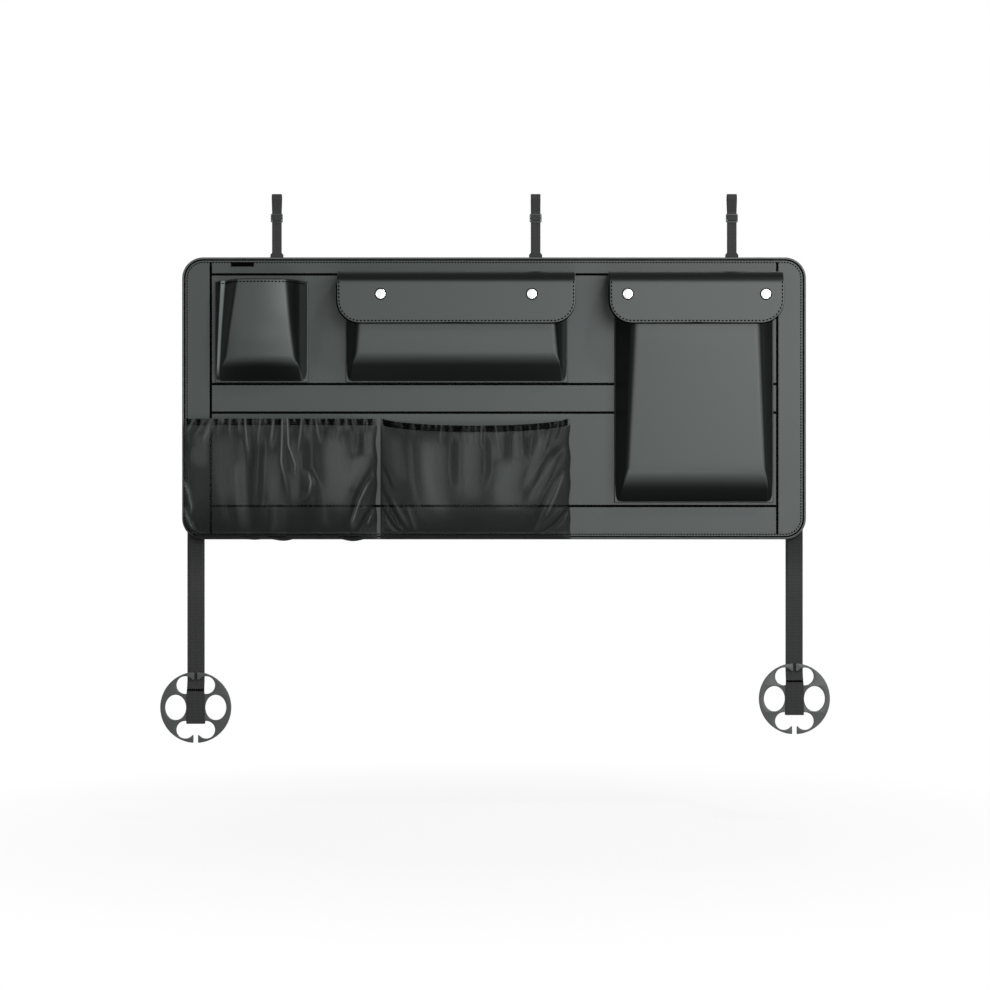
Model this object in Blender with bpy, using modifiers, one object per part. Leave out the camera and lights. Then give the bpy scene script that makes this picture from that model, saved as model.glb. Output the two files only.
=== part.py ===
"""Hanging trunk organizer for the back of a car's rear seat, in metres with +Z up.

The origin is the middle of the panel's back face, which rests on the seat back at y = 0.
The pockets face -Y, the headrest straps rise along +Z and the anchor discs hang along -Z.
"""

import math

import bmesh
import bpy
import numpy as np

COLLECTION = "trunk_organizer"

# Running gap between pieces that touch
GAP = 0.0003

# Panel: a lining, a board and a leather cover, held together by a folded edge tape
PANEL_WIDTH = 0.900
PANEL_HEIGHT = 0.407
PANEL_CORNER = 0.0305
LINING_THICK = 0.0012
BOARD_THICK = 0.0026
COVER_THICK = 0.0016
BOARD_INSET = 0.014
TAPE_THICK = 0.0010
TAPE_FRONT_LEG = 0.0027
TAPE_BACK_LEG = 0.0080
TAPE_ROUND = 0.0022
CORNER_STEPS = 8

# Pressed seam grooves of the cover
GROOVE_WIDTH = 0.0036
RIM_GROOVE_WIDTH = 0.0023
GROOVE_DEPTH = 0.0008
SIDE_GROOVE_X = 0.4084
SIDE_GROOVE_STOP = 0.0075
TOP_GROOVE_DROP = 0.0248
BOTTOM_GROOVE_RISE = 0.0482
MIDDLE_BAND_HEIGHT = 0.0412

# Bare sewn tab near the top left corner
TAB_SIZE = (0.0329, 0.0061)
TAB_THICK = 0.0006
TAB_FROM_SIDE = 0.0873
TAB_FROM_TOP = 0.0104

# Moulded pockets. Each station gives the side's inset and the shoulder's radius: at the mouth,
# level with the lower edge of a flap if there is one, and at the foot.
MOUTH_DROP = 0.0107
POCKET_DEPTH = 0.050
POCKET_WALL = 0.0020
POCKET_FLANGE = 0.0016
POCKET_FOOT = 0.0012
POCKET_BEND = 0.060
POCKET_HIP_POWER = 3.2
POCKET_BEND_STEPS = (2, 5, 2)
POCKET_SIDE_STEPS = (2, 6)
POCKETS = {
    "small_pocket": {
        "x": -0.3349,
        "width": 0.1341,
        "over_seam": ("middle", 0.0022),
        "slope": 0.026,
        "low_depth": 0.030,
        "stations": ((0.0160, 0.0180), (0.0065, 0.0072)),
    },
    "long_pocket": {
        "x": -0.0537,
        "width": 0.3200,
        "over_seam": ("middle", 0.0022),
        "slope": 0.030,
        "low_depth": 0.034,
        "stations": ((0.0140, 0.0090), (0.0120, 0.0085), (0.0070, 0.0070)),
    },
    "tall_pocket": {
        "x": 0.2880,
        "width": 0.2294,
        "over_seam": ("bottom", 0.0046),
        "slope": 0.030,
        "low_depth": 0.042,
        "stations": ((0.0055, 0.0045), (0.0140, 0.0116), (0.0065, 0.0060)),
    },
}

# Flaps over the long and the tall pocket
FLAP_THICK = 0.0022
FLAP_DROP = 0.0731
FLAP_ROLL = 0.0120
FLAP_CORNER = 0.032
FLAP_OVERHANG = 0.0093
FLAP_ROOT_ANGLES = (1.45, 1.0, 0.5, 0.0)
FLAP_ROLL_STEPS = 6
FLAP_CORNER_STEPS = 8
SNAP_DROP = 0.0326
SNAP_FROM_SIDE = {"long": 0.0526, "tall": 0.0166}
FLAP_POCKET = {"long": "long_pocket", "tall": "tall_pocket"}

# Press snaps
SNAP_CAP_RADIUS = 0.0072
SNAP_CAP_HEIGHT = 0.0022
SNAP_DOME_SHARE = 0.72
SNAP_DOME_STEPS = 4
SNAP_PLATE_RADIUS = 0.0046
SNAP_PLATE_THICK = 0.0008
SNAP_SOCKET_THICK = 0.0010
SNAP_SOCKET_BORE = 0.0024
SNAP_NUB_RADIUS = 0.0019
SNAP_NUB_HEIGHT = 0.0010
SNAP_SHANK_RADIUS = 0.0016
SNAP_SEGMENTS = 12

# Gathered mesh pockets
MESH_THICK = 0.0008
MESH_MOUTH_DEPTH = 0.015
MESH_BELLY_DEPTH = 0.032
MESH_GATHER = 0.0032
MESH_PITCH = 0.0205
MESH_EDGE = 0.012
MESH_MOUTH_POWER = 0.7
MESH_SAG_POWER = 0.5
MESH_ARCH_POWERS = (3, 0.6)
MESH_BELLY_START = 0.22
MESH_BELLY_POWER = 0.7
MESH_GATHER_FADE = 3.0
MESH_WANDER = (1.3, 0.31)
MESH_SLACK = (2.2, 0.37, 1.0)
MESH_POCKETS = {
    "left": {"x": (0.0005 - PANEL_WIDTH / 2, -0.1690), "top_drop": 0.0089, "sag": 0.000, "corner": True},
    "right": {"x": (-0.1637, 0.1096), "top_drop": 0.0059, "sag": 0.013, "corner": False},
}
MESH_BOTTOM_MARGIN = 0.0005
MESH_RIM_REACH = 0.0100
MESH_COLUMNS = 54
MESH_ROWS = 8
ELASTIC_HEIGHT = 0.0095
ELASTIC_THICK = 0.0008
ELASTIC_END = 0.03
ELASTIC_COLUMNS = 20

# Headrest straps with their sliders
HEADREST_X = {"left": -0.3134, "middle": 0.0600, "right": 0.3431}
HEADREST_WEB = 0.0140
HEADREST_WEB_THICK = 0.0009
HEADREST_FOOT_WIDTH = 0.0190
HEADREST_FOOT_RISE = 0.0035
HEADREST_TAIL = 0.013
HEADREST_REACH = 0.0915
SLIDER_RISE = 0.0565
SLIDER_SIZE = (0.0174, 0.0124)
SLIDER_THICK = 0.0014
SLIDER_BAR = 0.0016
SLIDER_CENTRE_BAR = 0.0024
SLIDER_CORNER = 0.0016
LOOP_RADIUS = 0.0072
LOOP_ROUND = 0.0063
WEB_BEND = 0.003
WEB_TURN = 0.00054
WEB_TURN_STEPS = 2
HEADREST_FOOT_ROWS = 2

# Seat gap straps with their anchor discs
ANCHOR_FROM_SIDE = {"left": 0.0199, "right": 0.0169}
ANCHOR_HANG = {"left": 0.2422, "right": 0.2296}
ANCHOR_WEB = 0.0250
ANCHOR_WEB_THICK = 0.0013
ANCHOR_WRAP_WIDTH = 0.0268
ANCHOR_TAIL = 0.0275
DISC_RADIUS = 0.0512
DISC_THICK = 0.0040
HUB_HALF_HEIGHT = 0.0220
DISC_EYE = (0.0289, 0.0151, 0.0180)
DISC_LOBE = (0.0151, 0.0322, 0.0127)
DISC_BARB_Z = 0.0397
DISC_SLOT = {"top": 0.0036, "bottom": 0.0066}
DISC_SEGMENTS = 56
ANCHOR_BEND = 0.006
ANCHOR_BEND_STEPS = 4
HOLE_SEGMENTS = 24

# Levels through the panel, from its back face to its front
LINING_FRONT_Y = -LINING_THICK
BOARD_BACK_Y = LINING_FRONT_Y - GAP
BOARD_FRONT_Y = BOARD_BACK_Y - BOARD_THICK
COVER_BACK_Y = BOARD_FRONT_Y - GAP
COVER_FRONT_Y = COVER_BACK_Y - COVER_THICK
TAPE_FRONT_Y = COVER_FRONT_Y - GAP - TAPE_THICK
POCKET_FRONT_Y = COVER_FRONT_Y - POCKET_DEPTH
WEB_Y = (LINING_FRONT_Y + COVER_BACK_Y) / 2

# Straps above and below the panel
HEADREST_TOP_Z = PANEL_HEIGHT / 2 + HEADREST_REACH
SLIDER_Z = PANEL_HEIGHT / 2 + SLIDER_RISE
ANCHOR = {
    side: (turn * (PANEL_WIDTH / 2 - ANCHOR_FROM_SIDE[side]), -PANEL_HEIGHT / 2 - ANCHOR_HANG[side])
    for side, turn in (("left", -1), ("right", 1))
}
ANCHOR_TAIL_Z = -PANEL_HEIGHT / 2 + ANCHOR_TAIL

# Seam heights on the cover
TOP_GROOVE_Z = PANEL_HEIGHT / 2 - TOP_GROOVE_DROP
SEAM_Z = {"middle": MIDDLE_BAND_HEIGHT / 2, "bottom": -PANEL_HEIGHT / 2 + BOTTOM_GROOVE_RISE}
POCKET_TOP_Z = TOP_GROOVE_Z - MOUTH_DROP
MESH_SEAM_Z = -SEAM_Z["middle"]

# Hinge line of both flaps, along the middle of the flap's round root
FLAP_HINGE_Y = COVER_FRONT_Y - GAP - FLAP_THICK / 2
FLAP_HINGE_Z = TOP_GROOVE_Z
FLAP_LOW_Z = FLAP_HINGE_Z - FLAP_DROP
SNAP_Z = FLAP_HINGE_Z - SNAP_DROP
SNAP_STACK = 3 * GAP + SNAP_PLATE_THICK + SNAP_SOCKET_THICK
FLAP_INNER_Y = POCKET_FRONT_Y - SNAP_STACK
FLAP_OUTER_Y = FLAP_INNER_Y - FLAP_THICK

LEATHER = ("grey_leather", (0.090, 0.099, 0.097), 0.42, 0.0)
DARK_LEATHER = ("edge_leather", (0.070, 0.077, 0.075), 0.45, 0.0)
FELT = ("black_felt", (0.012, 0.012, 0.013), 0.95, 0.0)
BOARD = ("grey_board", (0.25, 0.24, 0.22), 0.80, 0.0)
TAB = ("black_tab", (0.006, 0.006, 0.006), 0.85, 0.0)
WEBBING = ("black_webbing", (0.030, 0.033, 0.032), 0.80, 0.0)
MESH_CLOTH = ("black_mesh", (0.028, 0.030, 0.030), 0.55, 0.0)
ELASTIC = ("black_elastic", (0.008, 0.008, 0.008), 0.85, 0.0)
PLASTIC = ("grey_plastic", (0.060, 0.068, 0.066), 0.50, 0.0)
METAL = ("bright_snap", (0.85, 0.85, 0.86), 0.15, 1.0)


def clear_scene():
    for obj in list(bpy.data.objects):
        bpy.data.objects.remove(obj, do_unlink=True)


def collection(name):
    made = bpy.data.collections.new(name)
    bpy.context.scene.collection.children.link(made)
    return made


def paint(finish):
    """Principled material of a finish given as name, colour, roughness and metallic."""
    name, colour, roughness, metallic = finish
    found = bpy.data.materials.get(name)
    if found:
        return found
    made = bpy.data.materials.new(name)
    made.use_nodes = True
    shader = made.node_tree.nodes["Principled BSDF"]
    shader.inputs["Base Color"].default_value = (*colour, 1.0)
    shader.inputs["Roughness"].default_value = roughness
    shader.inputs["Metallic"].default_value = metallic
    return made


def add_object(name, data, finish, group):
    obj = bpy.data.objects.new(name, data)
    group.objects.link(obj)
    if finish:
        data.materials.append(paint(finish))
    return obj


def as_cutter(obj):
    obj.hide_render = True
    obj.display_type = "WIRE"
    return obj


def boolean(obj, cutter, operation="DIFFERENCE"):
    modifier = obj.modifiers.new(f"{operation.lower()}_{cutter.name}", "BOOLEAN")
    modifier.object = cutter
    modifier.operation = operation
    modifier.solver = "EXACT"


def box_cutter(name, low, high, group):
    """Axis-aligned box between two corners."""
    bm = bmesh.new()
    bmesh.ops.create_cube(bm, size=1.0)
    low, high = np.array(low, float), np.array(high, float)
    for vertex in bm.verts:
        vertex.co = [(low[i] + high[i]) / 2 + vertex.co[i] * (high[i] - low[i]) for i in range(3)]
    mesh = bpy.data.meshes.new(name)
    bm.to_mesh(mesh)
    bm.free()
    return as_cutter(add_object(name, mesh, None, group))


def drum(name, radius, length, group, segments, finish=None, stretch=1.0):
    """Cylinder along Y around its own origin; stretch scales its height along Z."""
    bm = bmesh.new()
    bmesh.ops.create_cone(
        bm, cap_ends=True, segments=segments, radius1=radius, radius2=radius, depth=length
    )
    for vertex in bm.verts:
        x, y, z = vertex.co
        vertex.co = (x, -z, y * stretch)
    mesh = bpy.data.meshes.new(name)
    bm.to_mesh(mesh)
    bm.free()
    return add_object(name, mesh, finish, group)


def filleted(points, radii, steps):
    """Polyline with each inner corner replaced by an arc of its radius and its number of steps."""
    points = [np.array(p, float) for p in points]
    line = [points[0]]
    if isinstance(steps, int):
        steps = [steps] * len(radii)
    for before, corner, after, radius, count in zip(points, points[1:], points[2:], radii, steps):
        back = (before - corner) / np.linalg.norm(before - corner)
        ahead = (after - corner) / np.linalg.norm(after - corner)
        half_angle = math.acos(np.clip(back @ ahead, -1, 1)) / 2
        tangent = radius / math.tan(half_angle)
        bisector = (back + ahead) / np.linalg.norm(back + ahead)
        centre = corner + bisector * radius / math.sin(half_angle)
        first, last = corner + back * tangent - centre, corner + ahead * tangent - centre
        sweep = math.pi - 2 * half_angle
        for step in np.linspace(0, 1, count + 1):
            blend = (math.sin((1 - step) * sweep) * first + math.sin(step * sweep) * last) / math.sin(sweep)
            line.append(centre + blend)
    line.append(points[-1])
    return np.array(line)


def rounded_rectangle(width, height, radius, steps=CORNER_STEPS):
    """Closed outline in its own plane, anticlockwise from the right end of the bottom side."""
    outline = []
    for turn, (side_x, side_z) in enumerate(((1, -1), (1, 1), (-1, 1), (-1, -1))):
        centre = np.array([side_x * (width / 2 - radius), side_z * (height / 2 - radius)])
        for angle in np.linspace(0, math.pi / 2, steps) + (turn - 1) * math.pi / 2:
            outline.append(centre + radius * np.array([math.cos(angle), math.sin(angle)]))
    return outline


def plate(name, outlines, back_y, front_y, finish, group):
    """Flat plate parallel to XZ, from outlines of (x, z) points; inner outlines are holes."""
    curve = bpy.data.curves.new(name, "CURVE")
    curve.dimensions = "2D"
    curve.fill_mode = "BOTH"
    curve.extrude = (back_y - front_y) / 2
    for outline in outlines:
        spline = curve.splines.new("POLY")
        spline.points.add(len(outline) - 1)
        for point, (x, z) in zip(spline.points, outline):
            point.co = (x, z, 0, 1)
        spline.use_cyclic_u = True
    flat = bpy.data.objects.new(name + "_outline", curve)
    group.objects.link(flat)
    flat.location = (0, (back_y + front_y) / 2, 0)
    flat.rotation_euler = (math.pi / 2, 0, 0)
    bpy.context.view_layer.update()
    mesh = bpy.data.meshes.new_from_object(flat.evaluated_get(bpy.context.evaluated_depsgraph_get()))
    solid = add_object(name, mesh, finish, group)
    solid.matrix_world = flat.matrix_world
    bpy.data.objects.remove(flat)
    bm = bmesh.new()
    bm.from_mesh(mesh)
    bmesh.ops.remove_doubles(bm, verts=bm.verts, dist=1e-6)
    bmesh.ops.recalc_face_normals(bm, faces=bm.faces)
    bm.to_mesh(mesh)
    bm.free()
    return solid


def sheet(name, grid, thickness, finish, group, inward=True):
    """Open surface through a grid of points, rows running down and columns along +X, made solid."""
    grid = np.asarray(grid, float)
    rows, columns = grid.shape[:2]
    index = np.arange(rows * columns).reshape(rows, columns)
    faces = np.stack([index[:-1, :-1], index[1:, :-1], index[1:, 1:], index[:-1, 1:]], axis=-1)
    mesh = bpy.data.meshes.new(name)
    mesh.from_pydata(grid.reshape(-1, 3).tolist(), [], faces.reshape(-1, 4).tolist())
    obj = add_object(name, mesh, finish, group)
    mesh.shade_smooth()
    solidify = obj.modifiers.new("wall", "SOLIDIFY")
    solidify.thickness = thickness
    solidify.offset = -1 if inward else 0
    solidify.use_even_offset = True
    return obj


def turned(name, profile, finish, group, place, segments=SNAP_SEGMENTS):
    """Solid of revolution about Y; the profile holds (radius, y) points from its front tip to its back."""
    mesh = bpy.data.meshes.new(name)
    mesh.from_pydata(
        [(radius, 0, -y) for radius, y in profile], [(i, i + 1) for i in range(len(profile) - 1)], []
    )
    obj = add_object(name, mesh, finish, group)
    screw = obj.modifiers.new("turn", "SCREW")
    screw.axis = "Z"
    screw.steps = segments
    screw.render_steps = segments
    screw.use_merge_vertices = True
    screw.merge_threshold = 1e-5
    obj.rotation_euler = (math.pi / 2, 0, 0)
    obj.location = place
    return obj


def make_panel(group, cutters):
    """Lining, board and cover, one behind the other."""
    lining_inset = TAPE_BACK_LEG + GAP
    cover_inset = TAPE_THICK + GAP
    for name, inset, back_y, front_y, finish in (
        ("back_lining", lining_inset, 0.0, LINING_FRONT_Y, FELT),
        ("stiffener_board", BOARD_INSET, BOARD_BACK_Y, BOARD_FRONT_Y, BOARD),
        ("front_cover", cover_inset, COVER_BACK_Y, COVER_FRONT_Y, LEATHER),
    ):
        outline = rounded_rectangle(PANEL_WIDTH - 2 * inset, PANEL_HEIGHT - 2 * inset, PANEL_CORNER - inset)
        layer = plate(name, [outline], back_y, front_y, finish, group)
        if name == "stiffener_board":
            notch_board(layer, cutters)
        if name == "front_cover":
            press_grooves(layer, cutters)


def notch_board(board, cutters):
    """Lower corners cut away where the seat gap straps are sewn in."""
    for side, (x, _) in ANCHOR.items():
        outer_x = math.copysign(PANEL_WIDTH / 2, x)
        inner_x = x - math.copysign(ANCHOR_WEB / 2 + GAP, x)
        low = (min(outer_x, inner_x), BOARD_FRONT_Y - BOARD_THICK, -PANEL_HEIGHT / 2)
        high = (max(outer_x, inner_x), BOARD_BACK_Y + BOARD_THICK, ANCHOR_TAIL_Z + GAP)
        boolean(board, box_cutter(f"board_notch_{side}", low, high, cutters))


def flap_span(flap):
    """Left and right edge of a flap."""
    size = POCKETS[FLAP_POCKET[flap]]
    half = size["width"] / 2 + FLAP_OVERHANG
    return size["x"] - half, size["x"] + half


def press_grooves(cover, cutters):
    """A groove beside the edge tape, two upright seams and four level ones between them.

    The flaps are sewn into the top seam, so its groove shows only beside and between them.
    """
    floor_y = COVER_FRONT_Y + GROOVE_DEPTH
    air_y = COVER_FRONT_Y - COVER_THICK
    half = GROOVE_WIDTH / 2
    reach = PANEL_HEIGHT / 2 - SIDE_GROOVE_STOP
    stops = [-SIDE_GROOVE_X, *flap_span("long"), *flap_span("tall"), SIDE_GROOVE_X]
    level = [(left, right, TOP_GROOVE_Z) for left, right in zip(stops[::2], stops[1::2]) if right > left]
    level += [(-SIDE_GROOVE_X, SIDE_GROOVE_X, z) for z in (SEAM_Z["middle"], MESH_SEAM_Z, SEAM_Z["bottom"])]
    seams = [
        ((x - half, air_y, -reach), (x + half, floor_y, reach)) for x in (-SIDE_GROOVE_X, SIDE_GROOVE_X)
    ] + [((left, air_y, z - half), (right, floor_y, z + half)) for left, right, z in level]
    for number, (low, high) in enumerate(seams):
        boolean(cover, box_cutter(f"seam_{number}", low, high, cutters))
    rings = [
        rounded_rectangle(PANEL_WIDTH - 2 * inset, PANEL_HEIGHT - 2 * inset, PANEL_CORNER - inset)
        for inset in (TAPE_FRONT_LEG, TAPE_FRONT_LEG + RIM_GROOVE_WIDTH)
    ]
    boolean(cover, as_cutter(plate("rim_groove", rings, floor_y, air_y, None, cutters)))


def make_binding(group, cutters):
    """Edge tape folded over the panel's rim, with a slot where each strap comes out."""
    front, inner = TAPE_FRONT_Y, TAPE_FRONT_Y + TAPE_THICK
    section = filleted(
        [(TAPE_FRONT_LEG, front), (0, front), (0, 0), (TAPE_BACK_LEG, 0)], [TAPE_ROUND, TAPE_ROUND], 3
    ).tolist() + [
        (TAPE_BACK_LEG, -TAPE_THICK),
        (TAPE_THICK, -TAPE_THICK),
        (TAPE_THICK, inner),
        (TAPE_FRONT_LEG, inner),
    ]
    profile = bpy.data.curves.new("tape_section", "CURVE")
    profile.dimensions = "2D"
    spline = profile.splines.new("POLY")
    spline.points.add(len(section) - 1)
    for point, (inset, y) in zip(spline.points, section):
        point.co = (inset, -y, 0, 1)
    spline.use_cyclic_u = True
    profile_obj = as_cutter(add_object("tape_section", profile, None, cutters))

    rim = bpy.data.curves.new("tape_path", "CURVE")
    rim.dimensions = "2D"
    rim.fill_mode = "NONE"
    rim.bevel_mode = "OBJECT"
    rim.bevel_object = profile_obj
    outline = rounded_rectangle(PANEL_WIDTH, PANEL_HEIGHT, PANEL_CORNER)
    spline = rim.splines.new("POLY")
    spline.points.add(len(outline) - 1)
    for point, (x, z) in zip(spline.points, outline):
        point.co = (x, z, 0, 1)
    spline.use_cyclic_u = True
    path = bpy.data.objects.new("tape_path", rim)
    cutters.objects.link(path)
    path.rotation_euler = (math.pi / 2, 0, 0)
    bpy.context.view_layer.update()
    mesh = bpy.data.meshes.new_from_object(path.evaluated_get(bpy.context.evaluated_depsgraph_get()))
    mesh.transform(path.matrix_world)
    bpy.data.objects.remove(path)
    bm = bmesh.new()
    bm.from_mesh(mesh)
    bmesh.ops.remove_doubles(bm, verts=bm.verts, dist=1e-6)
    bmesh.ops.recalc_face_normals(bm, faces=bm.faces)
    bm.to_mesh(mesh)
    bm.free()
    mesh.materials.clear()
    tape = add_object("edge_binding", mesh, DARK_LEATHER, group)

    margin = 2 * GAP
    for side, x in HEADREST_X.items():
        half, depth = HEADREST_FOOT_WIDTH / 2 + GAP, HEADREST_WEB_THICK / 2 + margin
        low = (x - half, WEB_Y - depth, PANEL_HEIGHT / 2 - 2 * TAPE_THICK)
        high = (x + half, WEB_Y + depth, PANEL_HEIGHT / 2 + TAPE_THICK)
        boolean(tape, box_cutter(f"headrest_slot_{side}", low, high, cutters))
    for side, (x, _) in ANCHOR.items():
        half, depth = ANCHOR_WEB / 2 + GAP, ANCHOR_WEB_THICK / 2 + margin
        low = (x - half, WEB_Y - depth, -PANEL_HEIGHT / 2 - TAPE_THICK)
        high = (x + half, WEB_Y + depth, ANCHOR_TAIL_Z)
        boolean(tape, box_cutter(f"anchor_slot_{side}", low, high, cutters))


def make_tab(group):
    x = -PANEL_WIDTH / 2 + TAB_FROM_SIDE
    z = PANEL_HEIGHT / 2 - TAB_FROM_TOP
    width, height = TAB_SIZE
    outline = [(x + sx * width / 2, z + sz * height / 2) for sx, sz in ((-1, -1), (1, -1), (1, 1), (-1, 1))]
    back_y = COVER_FRONT_Y - GAP
    plate("sewn_tab", [outline], back_y, back_y - TAB_THICK, TAB, group)


def pocket_grid(size):
    """Outer surface of a moulded pocket: flange, drafted sides, flat front and sloping bottom.

    The front stands upright down to the level of the flaps' lower edge and leans in below it.
    Under a flap the mouth station reaches down past the snaps, so that their studs sit flat.
    A side ramp and a bottom ramp, each from 0 at its foot to 1 on the front, are joined so
    that the hip between them stays round: 1 - ((1 - side)^p + (1 - bottom)^p)^(1/p).
    """
    seat = GAP + POCKET_WALL
    rise = POCKET_DEPTH - seat
    low_rise = size["low_depth"] - seat
    half = size["width"] / 2
    seam, clear = size["over_seam"]
    bottom = SEAM_Z[seam] + clear
    foot_z = bottom + POCKET_FLANGE
    flat_z = SNAP_Z - SNAP_PLATE_RADIUS - POCKET_WALL
    stations = size["stations"][::-1]
    levels = (foot_z, FLAP_LOW_Z, flat_z) if len(stations) == 3 else (foot_z, POCKET_TOP_Z)
    fold_z = foot_z + size["slope"]
    heights = filleted(
        [(POCKET_TOP_Z, rise), (FLAP_LOW_Z, rise), (fold_z, low_rise), (foot_z, 0), (bottom, 0)],
        [POCKET_BEND, stations[0][1], POCKET_FOOT],
        POCKET_BEND_STEPS,
    )
    between = [(z, rise) for z in (flat_z, (2 * flat_z + FLAP_LOW_Z) / 3) if z > heights[1][0]]
    heights = np.vstack([heights[:1], between, heights[1:]])
    grid = []
    for z, lift in heights:
        inset = np.interp(z, levels, [station[0] for station in stations])
        shoulder = np.interp(z, levels, [station[1] for station in stations])
        foot_x = half - POCKET_FLANGE
        side = filleted(
            [(-half, 0), (-foot_x, 0), (inset - foot_x, rise), (0, rise)],
            [POCKET_FOOT, shoulder],
            POCKET_SIDE_STEPS,
        )
        across = np.concatenate([side[:, 0], -side[-2::-1, 0]])
        ramp = np.concatenate([side[:, 1], side[-2::-1, 1]]) / rise
        side_short = np.clip(1 - ramp, 0, 1) ** POCKET_HIP_POWER
        level_short = np.clip(1 - lift / rise, 0, 1) ** POCKET_HIP_POWER
        depth = seat + rise * np.clip(1 - (side_short + level_short) ** (1 / POCKET_HIP_POWER), 0, 1)
        grid.append(np.stack([size["x"] + across, COVER_FRONT_Y - depth, np.full_like(across, z)], axis=1))
    return grid


def snap_places(flap):
    """(side, x, z) of a flap's two snaps."""
    size = POCKETS[FLAP_POCKET[flap]]
    reach = size["width"] / 2 - SNAP_FROM_SIDE[flap]
    return [("left", size["x"] - reach, SNAP_Z), ("right", size["x"] + reach, SNAP_Z)]


def make_pockets(group, cutters):
    made = {
        name: sheet(name, pocket_grid(size), POCKET_WALL, LEATHER, group) for name, size in POCKETS.items()
    }
    for flap, pocket in FLAP_POCKET.items():
        for side, x, z in snap_places(flap):
            hole = drum(
                f"{pocket}_{side}_hole", SNAP_SHANK_RADIUS + GAP, 4 * POCKET_WALL, cutters, SNAP_SEGMENTS
            )
            hole.location = (x, POCKET_FRONT_Y, z)
            boolean(made[pocket], as_cutter(hole))


def flap_section():
    """Rows of a flap from its root down, as (y, z, normal y, normal z, half thickness, side inset).

    The root is half round about the hinge line. A ledge, a round fold and an upright drop
    follow, and the side inset gives the drop its round lower corners.
    """
    front_y = FLAP_OUTER_Y + FLAP_THICK / 2
    half_thick = FLAP_THICK / 2
    rows = []
    for angle in FLAP_ROOT_ANGLES:
        y = FLAP_HINGE_Y + half_thick * math.sin(angle)
        rows.append((y, FLAP_HINGE_Z, 0, 1, half_thick * math.cos(angle), 0))
    turn_y, turn_z = front_y + FLAP_ROLL, FLAP_HINGE_Z - FLAP_ROLL
    for angle in np.linspace(0, math.pi / 2, FLAP_ROLL_STEPS + 1):
        out, up = -math.sin(angle), math.cos(angle)
        rows.append((turn_y + FLAP_ROLL * out, turn_z + FLAP_ROLL * up, out, up, half_thick, 0))
    for angle in np.linspace(0, math.pi / 2, FLAP_CORNER_STEPS + 1):
        z = FLAP_LOW_Z + FLAP_CORNER * (1 - math.sin(angle))
        rows.append((front_y, z, -1, 0, half_thick, FLAP_CORNER * (1 - math.cos(angle))))
    return rows


def make_flap(flap, group, cutters):
    """The flap swings about its root; its origin is on that line, in the middle of its width."""
    left, right = flap_span(flap)
    middle = (left + right) / 2
    rows = flap_section()
    count = len(rows)
    points = []
    for side in (1, -1):
        for y, z, normal_y, normal_z, half_thick, inset in rows:
            for x in (left + inset, right - inset):
                offset_y, offset_z = side * half_thick * normal_y, side * half_thick * normal_z
                points.append((x - middle, y + offset_y - FLAP_HINGE_Y, z + offset_z - FLAP_HINGE_Z))
    faces = []
    for row in range(count - 1):
        outer, inner = 2 * row, 2 * (count + row)
        faces.append((outer, outer + 2, outer + 3, outer + 1))
        faces.append((inner, inner + 1, inner + 3, inner + 2))
        faces.append((outer, inner, inner + 2, outer + 2))
        faces.append((outer + 1, outer + 3, inner + 3, inner + 1))
    last_outer, last_inner = 2 * (count - 1), 2 * (2 * count - 1)
    faces.append((0, 1, 2 * count + 1, 2 * count))
    faces.append((last_outer, last_inner, last_inner + 1, last_outer + 1))
    mesh = bpy.data.meshes.new(f"{flap}_flap")
    mesh.from_pydata(points, [], faces)
    made = add_object(f"{flap}_flap", mesh, LEATHER, group)
    made.location = (middle, FLAP_HINGE_Y, FLAP_HINGE_Z)
    for side, x, z in snap_places(flap):
        hole = drum(
            f"{flap}_flap_{side}_hole", SNAP_SHANK_RADIUS + GAP, 4 * FLAP_THICK, cutters, SNAP_SEGMENTS
        )
        hole.location = (x, FLAP_OUTER_Y + FLAP_THICK / 2, z)
        boolean(made, as_cutter(hole))


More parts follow.
